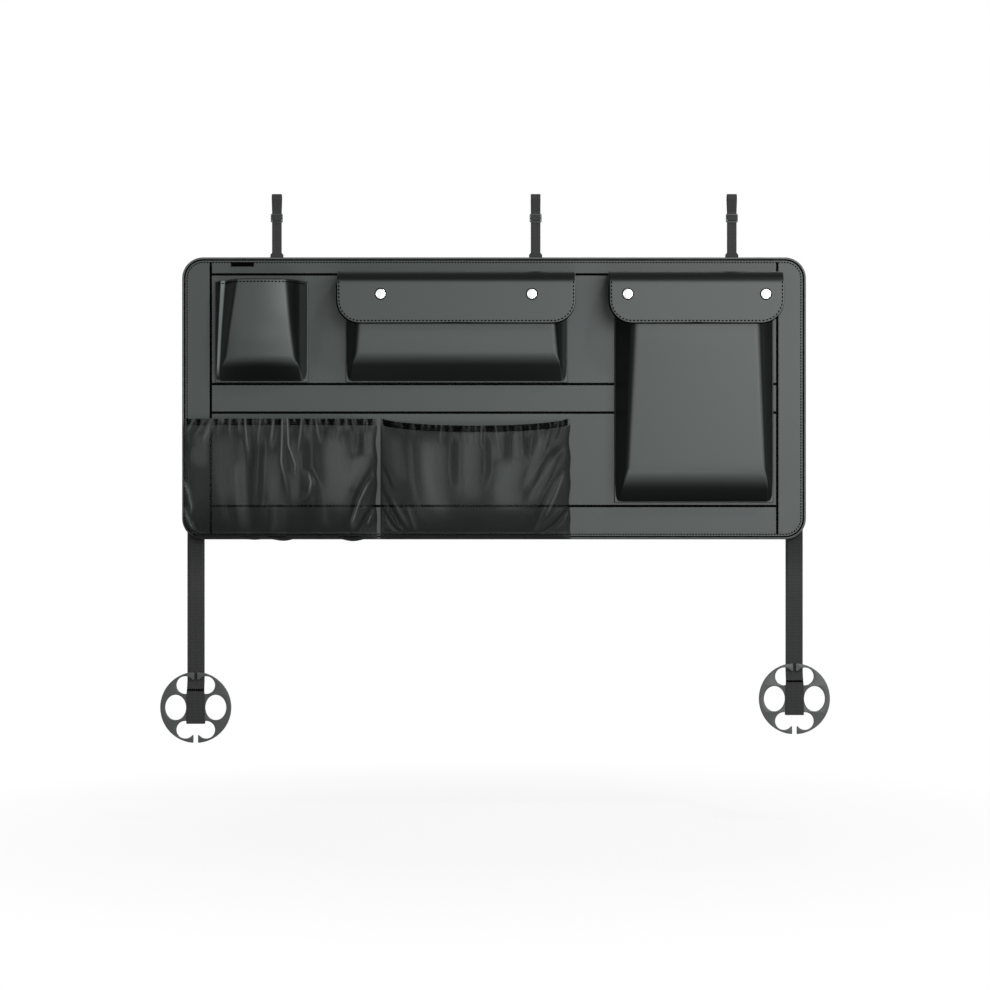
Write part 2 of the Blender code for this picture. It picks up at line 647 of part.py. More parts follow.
def make_snaps(flap, group):
    """Cap and socket on the flap, stud and back plate on the pocket."""
    shank_end = SNAP_CAP_HEIGHT + GAP + FLAP_THICK - 2 * GAP
    dome = [
        (SNAP_CAP_RADIUS * math.sin(angle), SNAP_CAP_HEIGHT * (1 - math.cos(angle)) * SNAP_DOME_SHARE)
        for angle in np.linspace(0, math.pi / 2, SNAP_DOME_STEPS + 1)
    ]
    cap = dome + [
        (SNAP_CAP_RADIUS, SNAP_CAP_HEIGHT),
        (SNAP_SHANK_RADIUS, SNAP_CAP_HEIGHT),
        (SNAP_SHANK_RADIUS, shank_end),
        (0, shank_end),
    ]
    socket = [
        (SNAP_SOCKET_BORE, 0),
        (SNAP_PLATE_RADIUS, 0),
        (SNAP_PLATE_RADIUS, SNAP_SOCKET_THICK),
        (SNAP_SOCKET_BORE, SNAP_SOCKET_THICK),
        (SNAP_SOCKET_BORE, 0),
    ]
    plate_back = SNAP_NUB_HEIGHT + SNAP_PLATE_THICK
    pin_end = plate_back + GAP + POCKET_WALL
    stud = [
        (0, 0),
        (SNAP_NUB_RADIUS, 0),
        (SNAP_NUB_RADIUS, SNAP_NUB_HEIGHT),
        (SNAP_PLATE_RADIUS, SNAP_NUB_HEIGHT),
        (SNAP_PLATE_RADIUS, plate_back),
        (SNAP_SHANK_RADIUS, plate_back),
        (SNAP_SHANK_RADIUS, pin_end),
        (0, pin_end),
    ]
    back_plate = [
        (0, 0),
        (SNAP_PLATE_RADIUS, 0),
        (SNAP_PLATE_RADIUS, SNAP_PLATE_THICK),
        (0, SNAP_PLATE_THICK),
    ]
    cap_y = FLAP_OUTER_Y - GAP - SNAP_CAP_HEIGHT
    socket_y = FLAP_INNER_Y + GAP
    stud_y = POCKET_FRONT_Y - GAP - plate_back
    inside_y = POCKET_FRONT_Y + POCKET_WALL + GAP
    for side, x, z in snap_places(flap):
        turned(f"{flap}_snap_cap_{side}", cap, METAL, group, (x, cap_y, z))
        turned(f"{flap}_snap_socket_{side}", socket, METAL, group, (x, socket_y, z))
        turned(f"{flap}_snap_stud_{side}", stud, METAL, group, (x, stud_y, z))
        turned(f"{flap}_snap_back_plate_{side}", back_plate, METAL, group, (x, inside_y, z))


def mesh_side_x(pocket, z):
    """Left and right seam of a mesh pocket at a height; the left one follows the panel's corner."""
    left, right = pocket["x"]
    if not pocket["corner"]:
        return left, right
    above = z + PANEL_HEIGHT / 2
    if above < PANEL_CORNER:
        left += PANEL_CORNER - math.sqrt(PANEL_CORNER**2 - (PANEL_CORNER - above) ** 2)
    return left, right


def seam_lift(x, z):
    """Clearance under the cloth's seams: they lie on the cover, and on the edge tape near the rim."""
    from_rim = np.minimum(PANEL_WIDTH / 2 - np.abs(x), PANEL_HEIGHT / 2 - np.abs(z))
    return np.where(from_rim < MESH_RIM_REACH, TAPE_THICK + 2 * GAP, GAP)


def mouth_rise(across):
    """How far the mouth stands off its seams, for a share 0 to 1 across the pocket."""
    return MESH_MOUTH_DEPTH * (4 * across * (1 - across)) ** MESH_MOUTH_POWER


def mouth_sag(pocket, across):
    return pocket["sag"] * (4 * across * (1 - across)) ** MESH_SAG_POWER


def mesh_rise(across, down, width):
    """Height of the gathered cloth above its seams.

    The belly grows from the mouth to two thirds of the way down and returns to the bottom
    seam. Gathers follow a cosine across the cloth, strong at the mouth and fading downwards,
    and wide slack folds take over lower down.
    """
    flatness, roundness = MESH_ARCH_POWERS
    arch = (1 - np.abs(2 * across - 1) ** flatness) ** roundness
    grown = math.sin(math.pi * (MESH_BELLY_START + (1 - MESH_BELLY_START) * down))
    belly = MESH_BELLY_DEPTH * max(grown, 0.0) ** MESH_BELLY_POWER * arch
    near_mouth = (1 - down) ** 2
    base = near_mouth * mouth_rise(across) + (1 - near_mouth) * belly
    phase = 2 * math.pi * across * width / MESH_PITCH
    wander, wander_rate = MESH_WANDER
    waves = (1 + np.cos(phase + wander * np.sin(phase * wander_rate))) / 2
    gathers = MESH_GATHER * math.exp(-MESH_GATHER_FADE * down) * waves
    size, rate, start = MESH_SLACK
    slack = size * MESH_GATHER * math.sin(math.pi * down) * (1 + np.cos(phase * rate + start)) / 2
    edge = np.clip(np.minimum(across, 1 - across) * width / MESH_EDGE, 0, 1)
    return base + (gathers + slack) * edge


def make_mesh_pockets(group):
    bottom_z = -PANEL_HEIGHT / 2 + MESH_BOTTOM_MARGIN
    across = np.linspace(0, 1, MESH_COLUMNS + 1)
    for name, pocket in MESH_POCKETS.items():
        width = pocket["x"][1] - pocket["x"][0]
        grid = []
        for down in np.linspace(0, 1, MESH_ROWS + 1):
            top = MESH_SEAM_Z - pocket["top_drop"] - mouth_sag(pocket, across)
            z = top + (bottom_z - top) * down
            sides = np.array([mesh_side_x(pocket, height) for height in z])
            x = sides[:, 0] + (sides[:, 1] - sides[:, 0]) * across
            depth = seam_lift(x, z) + MESH_THICK + mesh_rise(across, down, width)
            grid.append(np.stack([x, COVER_FRONT_Y - depth, z], axis=1))
        sheet(f"{name}_mesh_pocket", grid, MESH_THICK, MESH_CLOTH, group)
        make_elastic(name, pocket, group)


def make_elastic(name, pocket, group):
    """Flat elastic just inside the mouth, from seam to seam."""
    left, right = pocket["x"]
    across = np.linspace(ELASTIC_END, 1 - ELASTIC_END, ELASTIC_COLUMNS + 1)
    x = left + (right - left) * across
    depth = mouth_rise(across)
    top = MESH_SEAM_Z - pocket["top_drop"] - mouth_sag(pocket, across)
    rows = [top - GAP, top - ELASTIC_HEIGHT]
    grid = [np.stack([x, COVER_FRONT_Y - depth, z], axis=1) for z in rows]
    sheet(f"{name}_elastic", grid, ELASTIC_THICK, ELASTIC, group)


def strap(name, path, x, widths, thickness, group):
    """Webbing of even thickness along a path of (y, z) points, with its width at each point."""
    grid = [[(x + side * width / 2, y, z) for side in (-1, 1)] for (y, z), width in zip(path, widths)]
    return sheet(name, grid, thickness, WEBBING, group, inward=False)


def headrest_path():
    """Up from the panel, over the slider's middle bar, round the post and back to that bar."""
    step = HEADREST_WEB_THICK + GAP
    slider_y = WEB_Y - SLIDER_THICK / 2 - GAP - HEADREST_WEB_THICK / 2
    bar_front = slider_y - SLIDER_THICK / 2 - GAP - HEADREST_WEB_THICK / 2
    bar_side = SLIDER_CENTRE_BAR / 2 + GAP + HEADREST_WEB_THICK / 2
    through = (bar_side + step / 2 + SLIDER_SIZE[1] / 2 - SLIDER_BAR) / 2 + step / 8
    back_y = WEB_Y + step
    loop_y = (WEB_Y + back_y) / 2
    loop_z = HEADREST_TOP_Z - HEADREST_WEB_THICK / 2 - LOOP_RADIUS
    start_z = PANEL_HEIGHT / 2 - HEADREST_TAIL
    fork_z = SLIDER_Z + SLIDER_SIZE[1] / 2 + 2 * step
    foot_z = PANEL_HEIGHT / 2 + HEADREST_FOOT_RISE
    corners = [
        (WEB_Y, start_z),
        (WEB_Y, foot_z),
        (WEB_Y, foot_z + HEADREST_FOOT_RISE),
        (WEB_Y, SLIDER_Z - through),
        (bar_front - step, SLIDER_Z - through),
        (bar_front - step, SLIDER_Z + through),
        (WEB_Y, SLIDER_Z + through),
        (WEB_Y, fork_z),
        (loop_y - LOOP_RADIUS, loop_z),
        (loop_y - LOOP_RADIUS, loop_z + LOOP_RADIUS),
        (loop_y + LOOP_RADIUS, loop_z + LOOP_RADIUS),
        (loop_y + LOOP_RADIUS, loop_z),
        (back_y, fork_z),
        (back_y, SLIDER_Z - bar_side),
        (bar_front, SLIDER_Z - bar_side),
        (bar_front, SLIDER_Z + bar_side),
        (WEB_Y, SLIDER_Z + bar_side),
    ]
    radii = [WEB_TURN] * 4 + [WEB_BEND] * 2 + [LOOP_ROUND] * 2 + [WEB_BEND] * 2 + [WEB_TURN] * 3
    straight = np.array(corners[:3])
    return np.vstack([straight, filleted(corners[2:], radii, WEB_TURN_STEPS)[1:]]), slider_y


def make_headrest_straps(group):
    path, slider_y = headrest_path()
    narrow_rows = len(path) - HEADREST_FOOT_ROWS
    widths = [HEADREST_FOOT_WIDTH] * HEADREST_FOOT_ROWS + [HEADREST_WEB] * narrow_rows
    width, height = SLIDER_SIZE
    slot_height = height / 2 - SLIDER_BAR - SLIDER_CENTRE_BAR / 2
    slot_width = HEADREST_WEB + 2 * GAP
    for side, x in HEADREST_X.items():
        strap(f"headrest_strap_{side}", path, x, widths, HEADREST_WEB_THICK, group)
        frame = [(x + px, SLIDER_Z + pz) for px, pz in rounded_rectangle(width, height, SLIDER_CORNER, 4)]
        slots = []
        for end in (-1, 1):
            middle = SLIDER_Z + end * (SLIDER_CENTRE_BAR + slot_height) / 2
            corners = ((-1, -1), (1, -1), (1, 1), (-1, 1))
            slots.append([(x + sx * slot_width / 2, middle + sz * slot_height / 2) for sx, sz in corners])
        back_y, front_y = slider_y + SLIDER_THICK / 2, slider_y - SLIDER_THICK / 2
        plate(f"strap_slider_{side}", [frame, *slots], back_y, front_y, PLASTIC, group)


def anchor_path(disc_z, disc_y):
    """Down behind the disc's rim, over the front of its hub and up behind it."""
    clear = DISC_THICK / 2 + GAP + ANCHOR_WEB_THICK / 2
    below = disc_z - HUB_HALF_HEIGHT - GAP - ANCHOR_WEB_THICK / 2
    corners = [
        (WEB_Y, ANCHOR_TAIL_Z),
        (WEB_Y, disc_z + DISC_BARB_Z - ANCHOR_WEB_THICK),
        (disc_y - clear, disc_z + HUB_HALF_HEIGHT + ANCHOR_WEB_THICK),
        (disc_y - clear, below),
        (disc_y + clear, below),
        (disc_y + clear, disc_z + HUB_HALF_HEIGHT / 2),
    ]
    tight = GAP + ANCHOR_WEB_THICK / 2
    return filleted(corners, [ANCHOR_BEND, ANCHOR_BEND, tight, tight], ANCHOR_BEND_STEPS)


def make_disc(side, x, y, z, group, cutters):
    """Anchor disc: round plate with two eyes, two lobed windows and a hooked slot into each window."""
    disc = drum(f"anchor_disc_{side}", DISC_RADIUS, DISC_THICK, group, DISC_SEGMENTS, PLASTIC)
    disc.location = (x, y, z)
    through = 2 * DISC_THICK
    eye_x, eye_rx, eye_rz = DISC_EYE
    lobe_x, lobe_z, lobe_radius = DISC_LOBE
    for end, turn in (("bottom", -1), ("top", 1)):
        eye = drum(f"eye_{side}_{turn}", eye_rx, through, cutters, HOLE_SEGMENTS, stretch=eye_rz / eye_rx)
        eye.location = (x + turn * eye_x, y, z)
        boolean(disc, as_cutter(eye))
        window_low, window_high = sorted((turn * HUB_HALF_HEIGHT, turn * DISC_BARB_Z))
        window = box_cutter(
            f"window_{side}_{turn}",
            (x - lobe_x, y - through, z + window_low),
            (x + lobe_x, y + through, z + window_high),
            cutters,
        )
        boolean(disc, window)
        for lobe_side in (-1, 1):
            lobe = drum(f"lobe_{side}_{turn}_{lobe_side}", lobe_radius, through, cutters, HOLE_SEGMENTS)
            lobe.location = (x + lobe_side * lobe_x, y, z + turn * lobe_z)
            boolean(disc, as_cutter(lobe))
        slot_low, slot_high = sorted((turn * (DISC_BARB_Z - DISC_THICK), turn * (DISC_RADIUS + DISC_THICK)))
        slot = box_cutter(
            f"slot_{side}_{turn}",
            (x - DISC_SLOT[end] / 2, y - through, z + slot_low),
            (x + DISC_SLOT[end] / 2, y + through, z + slot_high),
            cutters,
        )
        boolean(disc, slot)


def make_anchors(group, cutters):
    disc_y = WEB_Y - ANCHOR_WEB_THICK / 2 - GAP - DISC_THICK / 2
    for side, (x, z) in ANCHOR.items():
        path = anchor_path(z, disc_y)
        widths = [ANCHOR_WRAP_WIDTH if height < z + HUB_HALF_HEIGHT else ANCHOR_WEB for _, height in path]
        strap(f"anchor_strap_{side}", path, x, widths, ANCHOR_WEB_THICK, group)
        make_disc(side, x, disc_y, z, group, cutters)


def main():
    clear_scene()
    parts = collection(COLLECTION)
    cutters = collection("cutters")
    make_panel(parts, cutters)
    make_binding(parts, cutters)
    make_tab(parts)
    make_pockets(parts, cutters)
    for flap in FLAP_POCKET:
        make_flap(flap, parts, cutters)
        make_snaps(flap, parts)
    make_mesh_pockets(parts)
    make_headrest_straps(parts)
    make_anchors(parts, cutters)


main()
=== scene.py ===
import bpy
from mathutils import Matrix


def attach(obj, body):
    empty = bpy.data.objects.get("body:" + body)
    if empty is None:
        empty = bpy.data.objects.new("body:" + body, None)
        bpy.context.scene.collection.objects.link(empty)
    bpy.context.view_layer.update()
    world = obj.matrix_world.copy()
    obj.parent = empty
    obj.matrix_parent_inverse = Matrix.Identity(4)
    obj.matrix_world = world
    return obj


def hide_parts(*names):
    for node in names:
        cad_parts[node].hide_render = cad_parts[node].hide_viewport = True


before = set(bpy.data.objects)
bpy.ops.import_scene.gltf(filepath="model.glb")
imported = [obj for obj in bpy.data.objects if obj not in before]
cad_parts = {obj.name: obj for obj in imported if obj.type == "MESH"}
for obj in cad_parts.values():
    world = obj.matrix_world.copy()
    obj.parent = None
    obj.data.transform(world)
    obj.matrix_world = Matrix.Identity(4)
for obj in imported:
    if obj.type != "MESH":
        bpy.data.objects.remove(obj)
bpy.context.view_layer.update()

import math

import bmesh
import bpy
import numpy as np
from mathutils import Vector

# The route of every piece follows the CAD's driving sizes, in metres
GAP = 0.0003
PANEL_WIDTH, PANEL_HEIGHT, PANEL_CORNER = 0.900, 0.407, 0.0305
COVER_FRONT_Y = -0.0060
TAPE_THICK, TAPE_FRONT_LEG, TAPE_BACK_LEG = 0.0010, 0.0027, 0.0080
TAPE_FRONT_Y = COVER_FRONT_Y - GAP - TAPE_THICK
SIDE_GROOVE_X, SIDE_GROOVE_STOP = 0.4084, 0.0075
TOP_GROOVE_Z, MIDDLE_Z, BOTTOM_GROOVE_Z = 0.1787, 0.0206, -0.1553
WEB_Y = -0.0028

POCKET_TOP_Z = 0.1680
POCKET_DEPTH, POCKET_WALL = 0.050, 0.0020
POCKET_FLANGE, POCKET_FOOT, POCKET_BEND = 0.0016, 0.0012, 0.170
POCKET_HIP_POWER = 3.2
PLEAT_SHARE, SLOPE_ROUND = 0.42, 0.044
# Of each pocket: x of its middle, height of the slope at its foot, depth where that slope
# starts, how far the front bulges, width of the band at its right side's foot that gets less
# painted shade, how much painted highlight its right shoulder gets and at which turn, (inset of
# a side, radius of a shoulder) from the mouth down, and the pleat's low edge, high edge and end
# from the left foot (at the bottom, at the mouth)
POCKETS = {
    "small_pocket": dict(
        x=-0.3349, width=0.1341, bottom=0.0228, slope=0.026, low_depth=0.030, crown=0.0070,
        light_foot=0.0105, lit_shoulder=(0.17, 0.28),
        stations=((0.0190, 0.0180), (0.0110, 0.0072)),
        pleat=((0.0008, 0.0085), (0.0050, 0.0160), (0.0090, 0.0310)),
    ),
    "long_pocket": dict(
        x=-0.0537, width=0.3200, bottom=0.0228, slope=0.030, low_depth=0.034, crown=0.0012,
        light_foot=0.0085, lit_shoulder=(0.13, 0.18),
        stations=((0.0140, 0.0090), (0.0160, 0.0110), (0.0095, 0.0080)),
    ),
    "tall_pocket": dict(
        x=0.2880, width=0.2294, bottom=-0.1507, slope=0.030, low_depth=0.042, crown=0.0012,
        light_foot=0.0, lit_shoulder=(0.05, 0.18),
        stations=((0.0055, 0.0045), (0.0210, 0.0150), (0.0105, 0.0085)),
    ),
}
FLAP_THICK, FLAP_DROP, FLAP_ROLL = 0.0022, 0.0731, 0.0180
FLAP_CORNER, FLAP_OVERHANG, FLAP_ROUND = 0.032, 0.0093, 0.0011
SNAP_DROP = 0.0326
# Painted shadow behind a flap: how far it shows past the flap to the left, right and below, and its
# thickness
SHADOW_LEFT, SHADOW_RIGHT, SHADOW_BELOW, SHADOW_THICK = 0.0014, 0.0004, 0.0016, 0.0005
SNAP_FROM_SIDE = {"long": 0.0526, "tall": 0.0166}
FLAP_POCKET = {"long": "long_pocket", "tall": "tall_pocket"}
FLAP_HINGE_Y, FLAP_HINGE_Z = -0.0074, 0.1787
FLAP_LOW_Z = FLAP_HINGE_Z - FLAP_DROP
SNAP_Z = FLAP_HINGE_Z - SNAP_DROP
FLAP_INNER_Y, FLAP_OUTER_Y = -0.0587, -0.0609
SNAP_CAP_RADIUS, SNAP_CAP_HEIGHT = 0.0069, 0.0022
SNAP_PLATE_RADIUS, SNAP_SHANK_RADIUS = 0.0046, 0.0016
# Painted shadow round a snap cap: (radius, height) points of a thin black ring
SNAP_SHADOW_RING = ((0.0060, 0.0), (0.0081, 0.0), (0.0085, 0.0002), (0.0081, 0.0004), (0.0060, 0.0004))

MESH_THICK, MESH_MOUTH_DEPTH, MESH_BELLY_DEPTH = 0.0008, 0.015, 0.032
NETS = {
    "left": dict(x=(-0.4495, -0.1690), top=-0.0295, sag=0.000, corner=True),
    "right": dict(x=(-0.1637, 0.1096), top=-0.0265, sag=0.013, corner=False),
}
NET_BOTTOM_Z = -0.2030
ELASTIC_HEIGHT = 0.0095

HEADREST_X = {"left": -0.3134, "middle": 0.0600, "right": 0.3431}
HEADREST_WEB, HEADREST_WEB_THICK = 0.0140, 0.0009
HEADREST_FOOT_WIDTH, HEADREST_FOOT_RISE, HEADREST_TAIL = 0.0190, 0.0035, 0.013
HEADREST_TOP_Z, SLIDER_Z = 0.2950, 0.2600
SLIDER_SIZE, SLIDER_THICK = (0.0174, 0.0124), 0.0014
SLIDER_BAR, SLIDER_CENTRE_BAR, SLIDER_CORNER = 0.0016, 0.0024, 0.0016
LOOP_RADIUS, LOOP_ROUND, WEB_BEND = 0.0072, 0.0063, 0.003

ANCHOR = {"left": (-0.4301, -0.4457), "right": (0.4331, -0.4331)}
ANCHOR_WEB, ANCHOR_WEB_THICK, ANCHOR_WRAP_WIDTH = 0.0250, 0.0013, 0.0268
ANCHOR_TAIL_Z, ANCHOR_BEND = -0.1760, 0.006
DISC_RADIUS, DISC_THICK, HUB_HALF_HEIGHT = 0.0512, 0.0040, 0.0220
DISC_EYE, DISC_LOBE = (0.0289, 0.0151, 0.0180), (0.0151, 0.0322, 0.0127)
DISC_BARB_Z = 0.0397
DISC_SLOT = {"top": 0.0036, "bottom": 0.0066}
DISC_BEVEL, SLIDER_BEVEL = 0.0009, 0.0004

# Stitches: pitch, length and width, and how far a row lies inside its edge
SEAM_STITCH, ANCHOR_STITCH_AND_SHADE = (0.0046, 0.0037, 0.0042), (0.0031, 0.0030, 0.0033)
RIM_STITCH, RIM_INSET = (0.0042, 0.0028, 0.0018), 0.0075
BACK_STITCH, BACK_INSET = (0.0038, 0.0025, 0.0011), 0.0062
HEM_STITCH, HEM_DROP = (0.0050, 0.0031, 0.0019), 0.0042
FLAP_STITCH, FLAP_INSET = (0.0052, 0.0031, 0.0019), 0.0027
TO_VIEWER, TO_SEAT = (0.0, -1.0, 0.0), (0.0, 1.0, 0.0)


# ---- nodes
def put(name, data):
    """Object at the origin, linked to the scene."""
    made = bpy.data.objects.new(name, data)
    bpy.context.scene.collection.objects.link(made)
    return made


def node(owner, kind, **settings):
    """New node of a material or world, with inputs and properties set by their names."""
    made = owner.node_tree.nodes.new(kind)
    for key, value in settings.items():
        if key in made.inputs:
            made.inputs[key].default_value = value
        else:
            setattr(made, key, value)
    return made


def link(owner, start, end):
    owner.node_tree.links.new(start, end)


def feed(owner, made, values):
    """First output of a node whose inputs take these outputs and numbers, in their order."""
    for slot, value in zip(made.inputs, values):
        if isinstance(value, (int, float)):
            slot.default_value = value
        else:
            link(owner, value, slot)
    return made.outputs[0]


def compute(owner, operation, *values):
    return feed(owner, node(owner, "ShaderNodeMath", operation=operation), values)


def mixed(owner, factor, first, second):
    return feed(owner, node(owner, "ShaderNodeMixShader"), (factor, first, second))


# ---- camera, light and floor
CAMERA_DISTANCE, FRAME_WIDTH, FRAME_CENTRE = 3.5, 1.4276, (0.0014, -0.1394)
SENSOR = 36.0
WHITE = (1, 1, 1, 1)
FLOOR_Z, FLOOR_HALF, FLOOR_FRONT, FLOOR_FADE = -0.62, 1.6, -1.0, (0.35, 0.95)
FLOOR_PALE, FLOOR_DULL, FLOOR_GLOW = 0.85, 0.30, 0.86


def set_camera():
    data = bpy.data.cameras.new("camera")
    camera = put("camera", data)
    camera.location = (FRAME_CENTRE[0], COVER_FRONT_Y - CAMERA_DISTANCE, FRAME_CENTRE[1])
    camera.rotation_euler = (math.pi / 2, 0, 0)
    data.sensor_width = SENSOR
    data.lens = SENSOR * CAMERA_DISTANCE / FRAME_WIDTH
    bpy.context.scene.camera = camera


def lamp(name, place, target, size, watts):
    """Rectangular area lamp at a place, turned to a target."""
    data = bpy.data.lights.new(name, "AREA")
    data.shape = "RECTANGLE"
    data.size, data.size_y = size
    data.energy = watts
    made = put(name, data)
    made.location = place
    made.rotation_euler = (Vector(target) - Vector(place)).to_track_quat("-Z", "Y").to_euler()


def seen_ray(owner):
    """1 for a ray from the camera, a mirror or a clear body, and 0 for one that carries light."""
    path = node(owner, "ShaderNodeLightPath")
    total = path.outputs["Is Camera Ray"]
    for ray in ("Is Glossy Ray", "Is Transmission Ray"):
        total = compute(owner, "MAXIMUM", total, path.outputs[ray])
    return total


def set_world(ambient):
    """Even light of a strength on the object, and plain white where a ray sees past it."""
    world = bpy.data.worlds.new("studio")
    bpy.context.scene.world = world
    world.use_nodes = True
    world.node_tree.nodes.clear()
    dim, white = (
        node(world, "ShaderNodeBackground", Color=WHITE, Strength=strength).outputs[0]
        for strength in (ambient, 1.0)
    )
    out = node(world, "ShaderNodeOutputWorld")
    link(world, mixed(world, seen_ray(world), dim, white), out.inputs[0])


def set_floor():
    """Pale floor under the hanging object that keeps its shadow and fades to the white backdrop."""
    mesh = bpy.data.meshes.new("floor")
    corners = [(side * FLOOR_HALF, y, FLOOR_Z) for side, y in (
        (-1, FLOOR_FRONT), (1, FLOOR_FRONT), (1, FLOOR_HALF), (-1, FLOOR_HALF),
    )]
    mesh.from_pydata(corners, [], [(0, 1, 2, 3)])
    floor = put("floor", mesh)
    made = bpy.data.materials.new("pale_floor")
    made.use_nodes = True
    made.node_tree.nodes.clear()
    pale, dull = (
        node(made, "ShaderNodeBsdfDiffuse", Color=(level, level, level, 1)).outputs[0]
        for level in (FLOOR_PALE, FLOOR_DULL)
    )
    white = node(made, "ShaderNodeEmission", Strength=1.0).outputs[0]
    flat = node(made, "ShaderNodeVectorMath", operation="MULTIPLY")
    flat.inputs[1].default_value = (1, 1, 0)
    link(made, node(made, "ShaderNodeTexCoord").outputs["Object"], flat.inputs[0])
    distance = node(made, "ShaderNodeVectorMath", operation="LENGTH")
    link(made, flat.outputs[0], distance.inputs[0])
    ends = {"From Min": FLOOR_FADE[0], "From Max": FLOOR_FADE[1]}
    fade = node(made, "ShaderNodeMapRange", **ends)
    link(made, distance.outputs["Value"], fade.inputs["Value"])
    faded = mixed(made, fade.outputs["Result"], mixed(made, FLOOR_GLOW, pale, white), white)
    out = node(made, "ShaderNodeOutputMaterial")
    link(made, mixed(made, seen_ray(made), dull, faded), out.inputs[0])
    mesh.materials.append(made)


# ---- materials
# Painted highlight: how many times lighter the leather is where the highlight attribute is full
# Painted shade: share of the leather's colour, and its specular level, where the shade attribute is
# full
PAINTED_SHADE_SHARE, PAINTED_SHADE_GLOSS, PAINTED_HIGHLIGHT_SHARE = 0.13, 0.06, 4.2
# Near-black colour of the grooves behind the cover's face: the seams' dark line and painted shade
# in one
GROOVE_SEAM_AND_SHADE, GROOVE_BEHIND = (0.0012, 0.0014, 0.0014), 0.00004
WEAVE_ALONG, WEAVE_ACROSS = 0.0042, 0.0036


def shader_input(material, name):
    return material.node_tree.nodes["Principled BSDF"].inputs[name]


def surface(name, colour, roughness, specular=0.5, metallic=0.0):
    material = bpy.data.materials.new(name)
    material.use_nodes = True
    shader_input(material, "Base Color").default_value = (*colour, 1)
    shader_input(material, "Roughness").default_value = roughness
    shader_input(material, "Specular IOR Level").default_value = specular
    shader_input(material, "Metallic").default_value = metallic
    return material


def scaled(colour, share):
    return tuple(share * part for part in colour)


def attribute(material, name):
    return node(material, "ShaderNodeAttribute", attribute_name=name).outputs["Fac"]


def tint(material, factor, dark, light):
    """Base colour that runs from dark to light with a factor of 0 to 1; gives its mix node."""
    mix = node(material, "ShaderNodeMix", data_type="RGBA")
    link(material, factor, mix.inputs["Factor"])
    mix.inputs[6].default_value = (*dark, 1)
    mix.inputs[7].default_value = (*light, 1)
    link(material, mix.outputs[2], shader_input(material, "Base Color"))
    return mix


def raise_bump(material, height, strength, distance):
    bump = node(material, "ShaderNodeBump", Strength=strength, Distance=distance)
    link(material, height, bump.inputs["Height"])
    link(material, bump.outputs[0], shader_input(material, "Normal"))


def object_noise(material, scale, detail=2.0):
    place = node(material, "ShaderNodeTexCoord")
    noise = node(material, "ShaderNodeTexNoise", Scale=scale, Detail=detail)
    link(material, place.outputs["Object"], noise.inputs["Vector"])
    return noise.outputs[0]


def leather(name, colour, roughness=0.40, specular=0.3, groove=False, walls=False):
    """Finely grained artificial leather.

    With groove, everything behind the cover's face is dark, partly the seams' dark line and partly
    painted shade. The other option adds painted light: one vertex attribute paints shade on a
    moulding's steep sides and some edges, darker and duller, and a second paints highlight on
    shoulders, pleats and edges, lighter.
    """
    made = surface(name, colour, roughness, specular)
    if walls:
        painted_highlight, wall = attribute(made, "painted_highlight"), attribute(made, "wall")
        # Painted shade: the marked steep faces and edges get a darker, duller colour
        shaded = tint(made, wall, colour, scaled(colour, PAINTED_SHADE_SHARE))
        # Painted highlight: the marked shoulders, pleats and flap edges get a lighter colour
        highlit = tint(made, painted_highlight, colour, scaled(colour, PAINTED_HIGHLIGHT_SHARE))
        link(made, shaded.outputs[2], highlit.inputs[6])
        gloss = node(made, "ShaderNodeMapRange", **{"To Min": specular, "To Max": PAINTED_SHADE_GLOSS})
        link(made, wall, gloss.inputs["Value"])
        link(made, gloss.outputs[0], shader_input(made, "Specular IOR Level"))
    raise_bump(made, object_noise(made, 1100.0, 3.0), 0.10, 0.0004)
    if groove:
        # Painted shade in part: in the grooves behind the cover's face the colour is near black and
        # without gloss, for both the dark seam line and the groove's shade
        parts = node(made, "ShaderNodeSeparateXYZ")
        link(made, node(made, "ShaderNodeTexCoord").outputs["Object"], parts.inputs[0])
        behind = compute(made, "GREATER_THAN", parts.outputs[1], COVER_FRONT_Y + GROOVE_BEHIND)
        tint(made, behind, colour, GROOVE_SEAM_AND_SHADE)
        face = compute(made, "MULTIPLY", compute(made, "SUBTRACT", 1.0, behind), specular)
        link(made, face, shader_input(made, "Specular IOR Level"))
        dull = compute(made, "MULTIPLY_ADD", behind, 0.5, roughness)
        link(made, dull, shader_input(made, "Roughness"))
    return made


def webbing(name, colour):
    """Woven tape: diagonal ribs that cross, from its UV map in metres."""
    made = surface(name, colour, 0.75, 0.3)
    parts = node(made, "ShaderNodeSeparateXYZ")
    link(made, node(made, "ShaderNodeUVMap", uv_map="metres").outputs[0], parts.inputs[0])
    along = compute(made, "MULTIPLY", parts.outputs[1], 2 * math.pi / WEAVE_ALONG)
    across = compute(made, "MULTIPLY", parts.outputs[0], 2 * math.pi / WEAVE_ACROSS)
    first = compute(made, "SINE", compute(made, "ADD", along, across))
    second = compute(made, "SINE", compute(made, "SUBTRACT", along, across))
    weave = compute(made, "MULTIPLY", first, second)
    share = compute(made, "MULTIPLY_ADD", weave, 0.5, 0.5)
    tint(made, share, scaled(colour, 0.25), scaled(colour, 2.0))
    raise_bump(made, share, 0.8, 0.0003)
    return made


def sheer(name, dark, light):
    """Sheer satin: attribute dense is how closed it looks, attribute fold its painted highlight."""
    made = surface(name, dark, 0.38, 0.15)
    tint(made, attribute(made, "fold"), dark, light)
    link(made, attribute(made, "dense"), shader_input(made, "Alpha"))
    raise_bump(made, object_noise(made, 2200.0), 0.10, 0.0003)
    return made


def felt(name, colour, specular=0.1):
    made = surface(name, colour, 0.95, specular)
    fibre = object_noise(made, 1600.0, 4.0)
    tint(made, fibre, scaled(colour, 0.5), scaled(colour, 1.8))
    raise_bump(made, fibre, 0.6, 0.0005)
    return made


